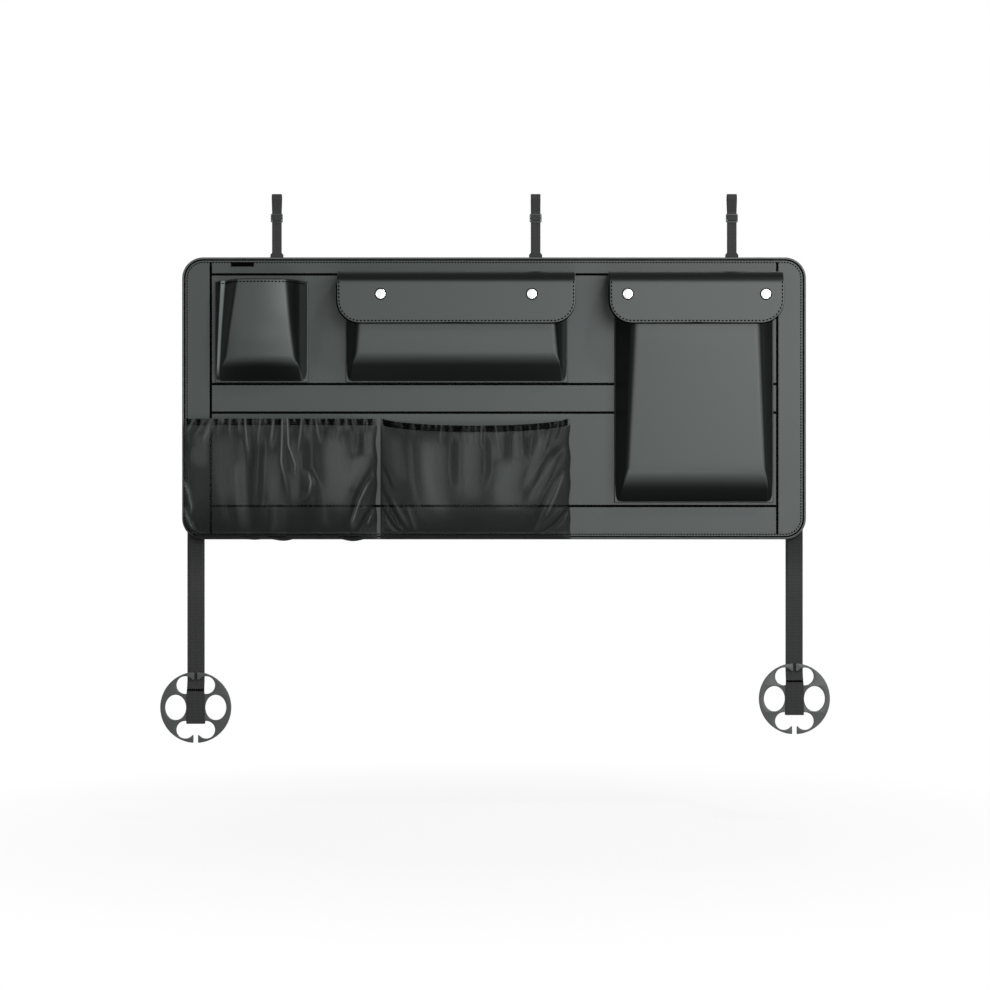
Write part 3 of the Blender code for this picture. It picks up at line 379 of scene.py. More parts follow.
LEATHER_COLOUR = (0.043, 0.0510, 0.0490)
LEATHER = leather("grey_leather", LEATHER_COLOUR, walls=True)
COVER = leather("grey_leather_cover", LEATHER_COLOUR, groove=True)
# The edge tape's colour is the leather's made about twice as light, a painted highlight on the
# panel's rounded edge
BINDING = leather("edge_leather", (0.085, 0.094, 0.092), roughness=0.36)
THREAD = surface("black_thread", (0.003, 0.003, 0.003), 0.8, 0.0)
WEBBING = webbing("black_webbing", (0.0176, 0.0185, 0.0180))
SATIN = sheer("black_mesh", (0.0036, 0.0040, 0.0038), (0.096, 0.106, 0.103))
ELASTIC = felt("black_elastic", (0.0008, 0.0008, 0.0008), 0.0)
PLASTIC = surface("grey_plastic", (0.036, 0.041, 0.040), 0.42, 0.5)
METAL = surface("bright_snap", (0.90, 0.90, 0.90), 0.12, 0.5, 1.0)
TAB = felt("black_tab", (0.0015, 0.0015, 0.0015), 0.0)
FELT = felt("black_felt", (0.034, 0.035, 0.036))
BOARD = felt("grey_board", (0.25, 0.24, 0.22))


# ---- shapes
def eased(share):
    """Smooth step of a share, held between 0 and 1."""
    share = np.clip(share, 0, 1)
    return share * share * (3 - 2 * share)


def unit(vectors):
    return vectors / np.linalg.norm(vectors, axis=-1, keepdims=True)


def stacked(x, y, z):
    """Array of points from coordinates that may be arrays or numbers."""
    return np.stack(np.broadcast_arrays(x, y, z), axis=-1)


def lengths_along(line):
    """Distance of each point of a polyline from its first one, along it."""
    return np.concatenate([[0], np.cumsum(np.linalg.norm(np.diff(line, axis=0), axis=1))])


def filleted(points, radii, steps):
    """Polyline with each inner corner replaced by an arc of its radius, in so many steps."""
    points = [np.array(p, float) for p in points]
    line = [points[0]]
    for before, corner, after, radius in zip(points, points[1:], points[2:], radii):
        back, ahead = unit(before - corner), unit(after - corner)
        half_angle = math.acos(np.clip(back @ ahead, -1, 1)) / 2
        tangent = radius / math.tan(half_angle)
        centre = corner + unit(back + ahead) * radius / math.sin(half_angle)
        first, last = corner + back * tangent - centre, corner + ahead * tangent - centre
        sweep = math.pi - 2 * half_angle
        for step in np.linspace(0, 1, steps + 1):
            blend = math.sin((1 - step) * sweep) * first + math.sin(step * sweep) * last
            line.append(centre + blend / math.sin(sweep))
    line.append(points[-1])
    return np.array(line)


def divided(line, parts):
    """Polyline with each of its segments cut into its number of equal parts."""
    line = np.asarray(line, float)
    if isinstance(parts, int):
        parts = [parts] * (len(line) - 1)
    pieces = [
        line[i] + (line[i + 1] - line[i]) * (np.arange(n) / n)[:, None] for i, n in enumerate(parts)
    ]
    return np.vstack(pieces + [line[-1:]])


def resampled(line, spacing):
    """Points about a spacing apart along a polyline."""
    line = np.asarray(line, float)
    travel = lengths_along(line)
    count = max(2, int(round(travel[-1] / spacing)) + 1)
    at = np.linspace(0, travel[-1], count)
    return np.stack([np.interp(at, travel, line[:, i]) for i in range(line.shape[1])], axis=1)


def rounded_rectangle(width, height, radius, steps):
    """Closed outline in its own plane, anticlockwise from the right end of the bottom side."""
    outline = []
    for turn, (side_x, side_z) in enumerate(((1, -1), (1, 1), (-1, 1), (-1, -1))):
        centre = np.array([side_x * (width / 2 - radius), side_z * (height / 2 - radius)])
        for angle in np.linspace(0, math.pi / 2, steps) + (turn - 1) * math.pi / 2:
            outline.append(centre + radius * np.array([math.cos(angle), math.sin(angle)]))
    return np.array(outline)


def weld(mesh, distance, sharp_from=None):
    """Join points closer than a distance, turn faces outward, and mark edges bent beyond an
    angle as sharp."""
    bm = bmesh.new()
    bm.from_mesh(mesh)
    bmesh.ops.remove_doubles(bm, verts=bm.verts, dist=distance)
    bmesh.ops.recalc_face_normals(bm, faces=bm.faces)
    if sharp_from:
        for edge in bm.edges:
            edge.smooth = len(edge.link_faces) == 2 and edge.calc_face_angle(0) < sharp_from
        for face in bm.faces:
            face.smooth = True
    bm.to_mesh(mesh)
    bm.free()


def carried(name, mesh, material, body):
    """Piece of one material that rides on a body."""
    mesh.materials.clear()
    mesh.materials.append(material)
    made = put(name, mesh)
    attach(made, body)
    return made


def add_piece(name, points, faces, material, body="organizer", uv=None, merge=0.0):
    mesh = bpy.data.meshes.new(name)
    points = np.asarray(points, float).reshape(-1, 3)
    mesh.from_pydata(points.tolist(), [], np.asarray(faces).tolist())
    if uv is not None:
        layer = mesh.uv_layers.new(name="metres")
        corner = np.empty(len(mesh.loops), dtype=np.int32)
        mesh.loops.foreach_get("vertex_index", corner)
        layer.data.foreach_set("uv", np.asarray(uv, np.float32).reshape(-1, 2)[corner].ravel())
    if merge:
        weld(mesh, merge)
    mesh.shade_smooth()
    return carried(name, mesh, material, body)


def vertex_values(mesh, label):
    """The places ("co") or normals ("normal") of a mesh's vertices, a row each."""
    values = np.empty(3 * len(mesh.vertices), np.float32)
    mesh.vertices.foreach_get(label, values)
    return values.reshape(-1, 3)


def set_attribute(made, label, values):
    layer = made.data.attributes.new(label, "FLOAT", "POINT")
    layer.data.foreach_set("value", np.asarray(values, np.float32).ravel())


def grid_faces(rows, columns, wrap=False, start=0):
    """Quads over a grid of points; wrap joins the last column to the first."""
    index = np.arange(rows * columns).reshape(rows, columns) + start
    if wrap:
        index = np.concatenate([index, index[:, :1]], axis=1)
    corners = [index[:-1, :-1], index[1:, :-1], index[1:, 1:], index[:-1, 1:]]
    return np.stack(corners, axis=-1).reshape(-1, 4)


def grid_normals(grid):
    """Unit normals of a grid with rows running down and columns along +X, so that they face -Y."""
    down, along = np.gradient(grid, axis=0), np.gradient(grid, axis=1)
    normal = np.cross(down, along)
    length = np.linalg.norm(normal, axis=2, keepdims=True)
    return normal / np.maximum(length, 1e-12)


def travelled(grid, axis):
    """Distance of each point of a grid from its first row or column, along the grid."""
    steps = np.linalg.norm(np.diff(grid, axis=axis), axis=2)
    zero = np.zeros_like(np.take(steps, [0], axis=axis))
    return np.concatenate([zero, np.cumsum(steps, axis=axis)], axis=axis)


def round_edge(from_edge, half):
    """Share of the half thickness left at a distance from a round edge."""
    reach = np.clip(1 - from_edge / half, 0, 1)
    return np.sqrt(np.clip(1 - reach**2, 0, 1))


def slab(name, front, thickness, material, body="organizer", centred=False):
    """Sheet goods of even thickness behind a grid of front points, with round edges.

    The middle surface lies half a thickness behind the grid, or in it where centred. The two
    faces stand off it along its normal by half the thickness times the product of the four
    edges' shares, each of which is the root of 1 - (1 - distance / half thickness)^2.
    """
    normal = grid_normals(front)
    half = thickness / 2
    middle = front if centred else front - normal * half
    down, along = travelled(middle, 0), travelled(middle, 1)
    share = np.ones(front.shape[:2])
    for distance in (down, down[-1:] - down, along, along[:, -1:] - along):
        share = share * round_edge(distance, half)
    offset = normal * (half * share)[..., None]
    outer, inner = middle + offset, middle - offset
    rows, columns = front.shape[:2]
    size = rows * columns
    faces = [grid_faces(rows, columns), grid_faces(rows, columns, start=size)[:, ::-1]]
    index = np.arange(size).reshape(rows, columns)
    loop = np.concatenate([index[0, :-1], index[:-1, -1], index[-1, :0:-1], index[:0:-1, 0]])
    ahead = np.roll(loop, -1)
    faces.append(np.stack([loop, ahead, ahead + size, loop + size], axis=1))
    uv = np.stack([along - along[:, -1:] / 2, down], axis=2).reshape(-1, 2)
    points = np.concatenate([outer.reshape(-1, 3), inner.reshape(-1, 3)])
    return add_piece(
        name, points, np.concatenate(faces), material, body, uv=np.concatenate([uv] * 2), merge=2e-6
    )


def lathe(name, profile, place, material, body, segments=48):
    """Solid turned about Y from (radius, y) points, front tip first: x and z are the radius
    times the cosine and sine of the turn."""
    profile = np.asarray(profile, float)
    angle = np.arange(segments) * 2 * math.pi / segments
    x = place[0] + profile[:, :1] * np.cos(angle)
    z = place[2] + profile[:, :1] * np.sin(angle)
    faces = grid_faces(len(profile), segments, wrap=True)
    points = stacked(x, place[1] + profile[:, 1:2], z)
    return add_piece(name, points, faces, material, body, merge=1e-6)


def sew(name, path, normals, stitch, body="organizer", sunk=0.35):
    """Row of thread stitches on a path, each a bead that is partly sunk.

    Along a bead, t from 0 to pi, its place is -cos t and its radius sin t, each to a power
    that blunts its ends; around it, the section is a circle.
    """
    pitch, length, width = stitch
    path = np.asarray(path, float)
    normals = np.broadcast_to(np.asarray(normals, float), path.shape)
    travel = lengths_along(path)
    count = max(1, int(travel[-1] / pitch))
    at = (np.arange(count) + 0.5) * travel[-1] / count
    take = lambda values, where: stacked(*(np.interp(where, travel, part) for part in values.T))
    centre, up = take(path, at), take(normals, at)
    ahead, behind = np.minimum(at + length / 4, travel[-1]), np.maximum(at - length / 4, 0)
    along = unit(take(path, ahead) - take(path, behind))
    up = unit(up - along * np.sum(up * along, axis=1, keepdims=True))
    side = np.cross(along, up)
    rings, around = 7, 8
    t = np.linspace(0, math.pi, rings)[:, None]
    a = np.arange(around) * 2 * math.pi / around
    radius = np.sin(t) ** 0.7 * width / 2
    reach = -np.sign(np.cos(t)) * np.abs(np.cos(t)) ** 0.8 * length / 2
    bead = stacked(reach, radius * np.cos(a), radius * np.sin(a)).reshape(-1, 3)
    basis = np.stack([along, side, up], axis=1)
    points = centre[:, None] + up[:, None] * width * (0.5 - sunk)
    points = points + np.einsum("bk,ckj->cbj", bead, basis)
    one = grid_faces(rings, around, wrap=True)
    faces = (one[None] + (np.arange(count) * rings * around)[:, None, None]).reshape(-1, 4)
    add_piece(name, points, faces, THREAD, body)


def mark_walls(made, *spans):
    """Painted shade, an attribute of 0 to 1 as the surface turns left, right, down or up, each over
    its span.
    """
    x, _, z = vertex_values(made.data, "normal").T
    wall = np.zeros(len(x))
    for turned, (start, full) in zip((-x, x, -z, z), spans):
        wall = np.maximum(wall, eased((turned - start) / (full - start)))
    set_attribute(made, "wall", wall)


# ---- panel
def rim_path(inset, y):
    """Closed path at an inset inside the panel's rim."""
    width, height = PANEL_WIDTH - 2 * inset, PANEL_HEIGHT - 2 * inset
    outline = rounded_rectangle(width, height, PANEL_CORNER - inset, 16)
    return resampled([(x, y, z) for x, z in np.vstack([outline, outline[:1]])], 0.004)


def dress_panel():
    """Materials of the flat CAD nodes, and the stitches in the cover's seams."""
    paint("front_cover", COVER)
    paint("back_lining", FELT)
    paint("stiffener_board", BOARD)
    paint("sewn_tab", TAB)
    side, reach = SIDE_GROOVE_X, PANEL_HEIGHT / 2 - SIDE_GROOVE_STOP - 0.002
    seams = {
        "seam_left": ((-side, reach), (-side, -reach)),
        "seam_right": ((side, reach), (side, -reach)),
        "seam_band_top": ((-side, MIDDLE_Z), (side, MIDDLE_Z)),
        "seam_band_bottom": ((-side, -MIDDLE_Z), (side, -MIDDLE_Z)),
        "seam_bottom": ((-side, BOTTOM_GROOVE_Z), (side, BOTTOM_GROOVE_Z)),
    }
    spans = [flap_span(flap) for flap in FLAP_POCKET]
    stops = [-side, *spans[0], *spans[1]]
    for number, (left, right) in enumerate(zip(stops[::2], stops[1::2])):
        seams[f"seam_top_{number}"] = ((left, TOP_GROOVE_Z), (right, TOP_GROOVE_Z))
    for name, ends in seams.items():
        path = resampled([(x, COVER_FRONT_Y, z) for x, z in ends], 0.01)
        sew(f"{name}_thread", path, TO_VIEWER, SEAM_STITCH, sunk=0.85)
    sew("rim_thread", rim_path(RIM_INSET, COVER_FRONT_Y), TO_VIEWER, RIM_STITCH)
    sew("rim_thread_back", rim_path(BACK_INSET, 0.0), TO_SEAT, BACK_STITCH)


def paint(name, material):
    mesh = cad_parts[name].data
    mesh.materials.clear()
    mesh.materials.append(material)


def make_binding():
    """Edge tape: its section of legs and a round fold, set in at the front leg's lip, is
    carried round the panel's rim along the rim's inward normals."""
    front, inner = TAPE_FRONT_Y, TAPE_FRONT_Y + TAPE_THICK
    step = 0.0003
    fold = [(TAPE_FRONT_LEG, front), (0, front), (0, 0), (TAPE_BACK_LEG, 0)]
    fold = filleted(fold, [0.0030, 0.0030], 8)[1:]
    lip = [(TAPE_FRONT_LEG, front + step), (TAPE_FRONT_LEG - step, front + step)]
    back = [
        (TAPE_BACK_LEG, -TAPE_THICK), (TAPE_THICK, -TAPE_THICK),
        (TAPE_THICK, inner), (TAPE_FRONT_LEG, inner),
    ]
    section = np.vstack([lip, fold, back])
    rim = rounded_rectangle(PANEL_WIDTH, PANEL_HEIGHT, PANEL_CORNER, 24)
    along = unit(np.roll(rim, -1, axis=0) - np.roll(rim, 1, axis=0))
    inward = np.stack([-along[:, 1], along[:, 0]], axis=1)
    place = rim[:, None] + inward[:, None] * section[None, :, :1]
    points = stacked(place[..., 0], section[:, 1], place[..., 1])
    points = np.concatenate([points, points[:1]])
    faces = grid_faces(*points.shape[:2], wrap=True)
    tape = add_piece("binding_tape", points, faces, BINDING, merge=1e-6)
    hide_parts("edge_binding")


# ---- moulded pockets
# Above this share of the way from the slope to the flap's edge, the front follows the profile
LIFTED_SHARE = 0.30
PLEAT_STEP, PLEAT_ROUNDS = 0.0016, (0.0012, 0.0020)
# Spans of the painted shade attribute: turned left, right, down, up
POCKET_SHADE_SPANS = (0.10, 0.45), (0.30, 0.62), (0.28, 0.80), (0.5, 0.9)
# Flaps get painted shade on the left edge, the lower edge and the upward-facing fold, none on the
# right
FLAP_SHADE_SPANS = (0.1, 0.5), (1.1, 1.5), (0.1, 0.5), (0.05, 0.36)


def pocket_row(size, z, lift):
    """One level of a pocket's outer surface, from its left flange to its right one.

    ramp is the section there as a share of the full depth: flange, side, round shoulder and
    front, with a step in the left side for the pleat. level is the profile's lift as a share
    of the front's. The depth's share is 1 - ((1 - ramp)^n + (1 - level)^n)^(1 / n), with n the
    hip's power, so that sides and slope meet in a round hip. A parabola bulges the front.
    """
    seat = GAP + POCKET_WALL
    rise = POCKET_DEPTH - seat
    half = size["width"] / 2
    foot_x, foot_z = half - POCKET_FLANGE, size["bottom"] + POCKET_FLANGE
    flat_z = SNAP_Z - SNAP_PLATE_RADIUS - POCKET_WALL
    stations = np.array(size["stations"][::-1])
    has_flap = len(stations) == 3
    levels = (foot_z, FLAP_LOW_Z, flat_z) if has_flap else (foot_z, POCKET_TOP_Z)
    inset, shoulder = (np.interp(z, levels, values) for values in stations.T)
    corners = [(-half, 0), (-foot_x, 0), (inset - foot_x, rise), (0, rise)]
    arc = [1] * 14
    plain = divided(filleted(corners, [POCKET_FOOT, shoulder], 14), [3, *arc, 16, *arc, 26])
    side = plain
    if "pleat" in size:
        span = (foot_z, POCKET_TOP_Z)
        low, high, top = (np.interp(z, span, ends) - foot_x for ends in size["pleat"])
        step = PLEAT_SHARE * rise
        corners[2:3] = [(low, step), (high, step + PLEAT_STEP), (top, rise)]
        arc = [1] * 10
        side = filleted(corners, [POCKET_FOOT, *PLEAT_ROUNDS, shoulder * 0.7], 10)
        side = divided(side, [3, *arc, 12, *arc, 6, *arc, 12, *arc, 26])
    across, ramp = np.concatenate([side, plain[-2::-1] * (-1, 1)]).T
    slope_z = foot_z + size["slope"]
    front = np.interp(z, (slope_z, FLAP_LOW_Z), ((size["low_depth"] - seat) / rise, 1.0))
    if z > slope_z + LIFTED_SHARE * (FLAP_LOW_Z - slope_z):
        front = lift / rise
    level = np.clip(lift / rise / front, 0, 1)
    short = np.clip(1 - ramp / rise, 0, 1) ** POCKET_HIP_POWER + (1 - level) ** POCKET_HIP_POWER
    crown = size["crown"] * np.clip(1 - (across / (foot_x - inset)) ** 2, 0, 1) * level
    if has_flap:
        crown = crown * np.clip((FLAP_LOW_Z - z) / 0.03, 0, 1)
    depth = seat + rise * front * np.clip(1 - short ** (1 / POCKET_HIP_POWER), 0, 1) + crown
    return stacked(size["x"] + across, COVER_FRONT_Y - depth, z)


def pocket_levels(size):
    """(height, lift) pairs of a pocket's profile from the mouth down to the bottom flange."""
    seat = GAP + POCKET_WALL
    rise, low_rise = POCKET_DEPTH - seat, size["low_depth"] - seat
    bottom, foot_z = size["bottom"], size["bottom"] + POCKET_FLANGE
    corners = [(POCKET_TOP_Z, rise), (FLAP_LOW_Z, rise), (foot_z + size["slope"], low_rise)]
    corners += [(foot_z, 0), (bottom, 0)]
    arc = [1] * 12
    lines = filleted(corners, [POCKET_BEND, SLOPE_ROUND, POCKET_FOOT], 12)
    return divided(lines, [16, *arc, 14, *arc, 12, *arc, 3])


def paint_highlight(made, size):
    """Painted highlight, an attribute: a little where a pocket's right shoulder begins to turn, and
    up to 1 on the pleat in its left side, above the bottom."""
    turn, facing, _ = vertex_values(made.data, "normal").T
    light, middle = size["lit_shoulder"]
    painted_highlight = light * np.exp(-(((turn - middle) / 0.10) ** 2)) * (facing < 0)
    if "pleat" in size:
        x, _, z = vertex_values(made.data, "co").T
        x = x - size["x"] + size["width"] / 2 - POCKET_FLANGE
        span = (size["bottom"], POCKET_TOP_Z)
        low, high = (np.interp(z, span, ends) for ends in size["pleat"][:2])
        share = eased(1.25 - np.abs(x - (low + high) / 2) / (high - low) * 2)
        painted_highlight = np.maximum(painted_highlight, share * np.clip((z - size["bottom"] - 0.008) / 0.02, 0, 1))
    set_attribute(made, "painted_highlight", painted_highlight)


def lighten_foot(made, size):
    """Take part of the painted shade off the band beside the foot of a pocket's right side, which
    paints that band lighter.
    """
    values = made.data.attributes["wall"].data
    wall = np.empty(len(values), np.float32)
    values.foreach_get("value", wall)
    inside = size["x"] + size["width"] / 2 - vertex_values(made.data, "co")[:, 0]
    share = np.clip((size["light_foot"] - inside) / 0.003 + 0.5, 0, 1)
    values.foreach_set("value", (wall * (1 - 0.42 * share)).astype(np.float32))


def make_pockets():
    for name, size in POCKETS.items():
        levels = pocket_levels(size)
        grid = np.array([pocket_row(size, z, lift) for z, lift in levels])
        body = slab(f"{name}_leather", grid, POCKET_WALL, LEATHER)
        # Painted highlight on the right shoulder and on the pleat
        paint_highlight(body, size)
        # Painted shade on the pocket's steep faces
        mark_walls(body, *POCKET_SHADE_SPANS)
        lighten_foot(body, size)
        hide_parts(name)
        hem = pocket_row(size, POCKET_TOP_Z - HEM_DROP, levels[0][1])[20:-20]
        ahead = np.gradient(hem, axis=0)
        sew(f"{name}_hem_thread", hem, unit(stacked(ahead[:, 1], -ahead[:, 0], 0.0)), HEM_STITCH)


# ---- flaps
def flap_span(flap):
    size = POCKETS[FLAP_POCKET[flap]]
    half = size["width"] / 2 + FLAP_OVERHANG
    return size["x"] - half, size["x"] + half


def snap_places(flap):
    size = POCKETS[FLAP_POCKET[flap]]
    reach = size["width"] / 2 - SNAP_FROM_SIDE[flap]
    return {"left": size["x"] - reach, "right": size["x"] + reach}


def flap_section():
    """(y, z) of a flap's middle surface from its root over the round fold to its lower edge."""
    front_y = FLAP_OUTER_Y + FLAP_THICK / 2
    turn_y, turn_z = front_y + FLAP_ROLL, FLAP_HINGE_Z - FLAP_ROLL
    rows = [
        (FLAP_HINGE_Y + (turn_y - FLAP_HINGE_Y) * share, FLAP_HINGE_Z)
        for share in np.linspace(-0.025, 1, 15)[:-1]
    ]
    for angle in np.linspace(0, math.pi / 2, 15):
        rows.append((turn_y - FLAP_ROLL * math.sin(angle), turn_z + FLAP_ROLL * math.cos(angle)))
    straight = np.linspace(turn_z, FLAP_LOW_Z + FLAP_CORNER, 10)[1:-1]
    rows += [(front_y, z) for z in straight]
    corner = FLAP_LOW_Z + FLAP_CORNER * (1 - np.sin(np.linspace(0, math.pi / 2, 40)))
    rows += [(front_y, z) for z in corner]
    return np.array(rows)


def flap_inset(z):
    """How far a flap's side has turned in at a height, for its round lower corners."""
    drop = np.clip((FLAP_LOW_Z + FLAP_CORNER - z) / FLAP_CORNER, 0, 1)
    return FLAP_CORNER * (1 - np.sqrt(np.clip(1 - drop**2, 0, 1)))


def flap_grid(section, left, right):
    """A flap's middle surface: its section carried from side to side, closer to its sides with
    1 - cos, and pulled in along its front where the lower corners are round."""
    half = (right - left) / 2
    edge = FLAP_ROUND * (1 - np.cos(np.linspace(0, math.pi / 2, 7)))
    inside = np.concatenate([edge, np.linspace(FLAP_ROUND, half, 30)[1:]])
    rows = []
    for y, z in section:
        reach = half - flap_inset(z) if y < FLAP_OUTER_Y + 0.002 else half
        pulled = FLAP_ROUND + (inside - FLAP_ROUND) * (reach - FLAP_ROUND) / (half - FLAP_ROUND)
        x = np.where(inside <= FLAP_ROUND, inside, pulled)
        x = np.concatenate([x - reach, (reach - x)[-2::-1]])
        rows.append(stacked((left + right) / 2 + x, y, z))
    return np.array(rows)


def make_flaps():
    section = flap_section()
    for flap in FLAP_POCKET:
        left, right = flap_span(flap)
        grid = flap_grid(section, left, right)
        name = f"{flap}_flap"
        body = slab(f"{flap}_flap_leather", grid, FLAP_THICK, LEATHER, name, centred=True)
        # Painted shade on the flap's left and lower edges and its upward-facing fold
        mark_walls(body, *FLAP_SHADE_SPANS)
        turn = vertex_values(body.data, "normal")[:, 0]
        # Painted highlight along the flap's right edge
        set_attribute(body, "painted_highlight", 0.45 * np.clip((turn - 0.2) / 0.3, 0, 1))
        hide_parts(name)
        # Black sheet behind the flap as its painted shadow
        make_shadow_sheet(flap, left, right)
        path, normals = flap_outline(section, left, right, FLAP_INSET)
        sew(f"{flap}_flap_thread", path, normals, FLAP_STITCH, name)
        for side, x in snap_places(flap).items():
            make_cap(flap, side, x)


def make_shadow_sheet(flap, left, right):
    """Painted shadow: a black sheet behind a flap's front, a little larger than it to the left and
    below, where it shows as the flap's shadow.
    """
    z = np.concatenate([
        np.linspace(FLAP_HINGE_Z - FLAP_ROLL, FLAP_LOW_Z + FLAP_CORNER, 6)[:-1],
        FLAP_LOW_Z + FLAP_CORNER * (1 - np.sin(np.linspace(0, math.pi / 2, 40))),
    ])
    inset = flap_inset(z)
    start, end = left + inset - SHADOW_LEFT, right - inset + SHADOW_RIGHT
    share = np.linspace(0, 1, 40)
    x = start[:, None] + (end - start)[:, None] * share
    low = z - SHADOW_BELOW * np.clip((FLAP_LOW_Z + FLAP_CORNER - z) / FLAP_CORNER, 0, 1)
    grid = stacked(x, FLAP_INNER_Y + 0.0001, low[:, None])
    shadow_sheet = slab(f"{flap}_flap_shadow_sheet", grid, SHADOW_THICK, THREAD, f"{flap}_flap")


def flap_outline(section, left, right, inset):
    """Path at an inset inside a flap's edge over its outer face, and that face's normals."""
    travel = lengths_along(section)
    total, radius = travel[-1], FLAP_CORNER - inset
    high, low = total - FLAP_DROP + FLAP_ROLL - 0.004, total - inset
    start, end = left + inset, right - inset
    flat = filleted([(start, high), (start, low), (end, low), (end, high)], [radius, radius], 24)
    flat = resampled(flat, 0.002)
    ahead = unit(np.gradient(section, axis=0))
    at = lambda values: np.interp(flat[:, 1], travel, values)
    normals = stacked(0.0, at(ahead[:, 1]), at(-ahead[:, 0]))
    path = stacked(flat[:, 0], at(section[:, 0]), at(section[:, 1]))
    return path + normals * FLAP_THICK / 2, normals


def make_cap(flap, side, x):
    """Domed snap cap with a rolled rim, on its shank, over a thin black ring round it that is a
    painted shadow.
    """
    body = f"{flap}_flap"
    tip_y = FLAP_OUTER_Y - GAP - SNAP_CAP_HEIGHT
    angle = np.linspace(0, math.pi / 2, 10)
    dome = np.stack([0.93 * np.sin(angle), 0.55 * (1 - np.cos(angle))], axis=1)
    rim = [(0.955, 0.50), (0.985, 0.56), (1.0, 0.70), (1.0, 0.86), (0.975, 0.97), (0.93, 1.0)]
    cap = np.vstack([dome, rim]) * (SNAP_CAP_RADIUS, SNAP_CAP_HEIGHT)
    end = SNAP_CAP_HEIGHT + FLAP_THICK - GAP
    foot = [(SNAP_SHANK_RADIUS, SNAP_CAP_HEIGHT), (SNAP_SHANK_RADIUS, end), (0, end)]
    cap = np.vstack([cap, foot])
    made = lathe(f"{flap}_cap_{side}", cap, (x, tip_y, SNAP_Z), METAL, body)
    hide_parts(f"{flap}_snap_cap_{side}")
    # Thin black ring round the cap as its painted shadow
    shadow_ring, place = SNAP_SHADOW_RING + SNAP_SHADOW_RING[:1], (x, FLAP_OUTER_Y - 0.0002, SNAP_Z)
    lathe(f"{flap}_cap_shadow_{side}", shadow_ring, place, THREAD, body)
    for piece in ("socket", "stud", "back_plate"):
        paint(f"{flap}_snap_{piece}_{side}", METAL)


# ---- gathered pockets
CLOTH_COLUMNS, CLOTH_ROWS = 420, 170
# Of each cloth: seed and number of the mouth's gathers, and how strong the painted highlight on
# them and on the crests is
GATHERS = {"left": (7, 34, 0.8, 1.0), "right": (11, 22, 0.5, 0.8)}
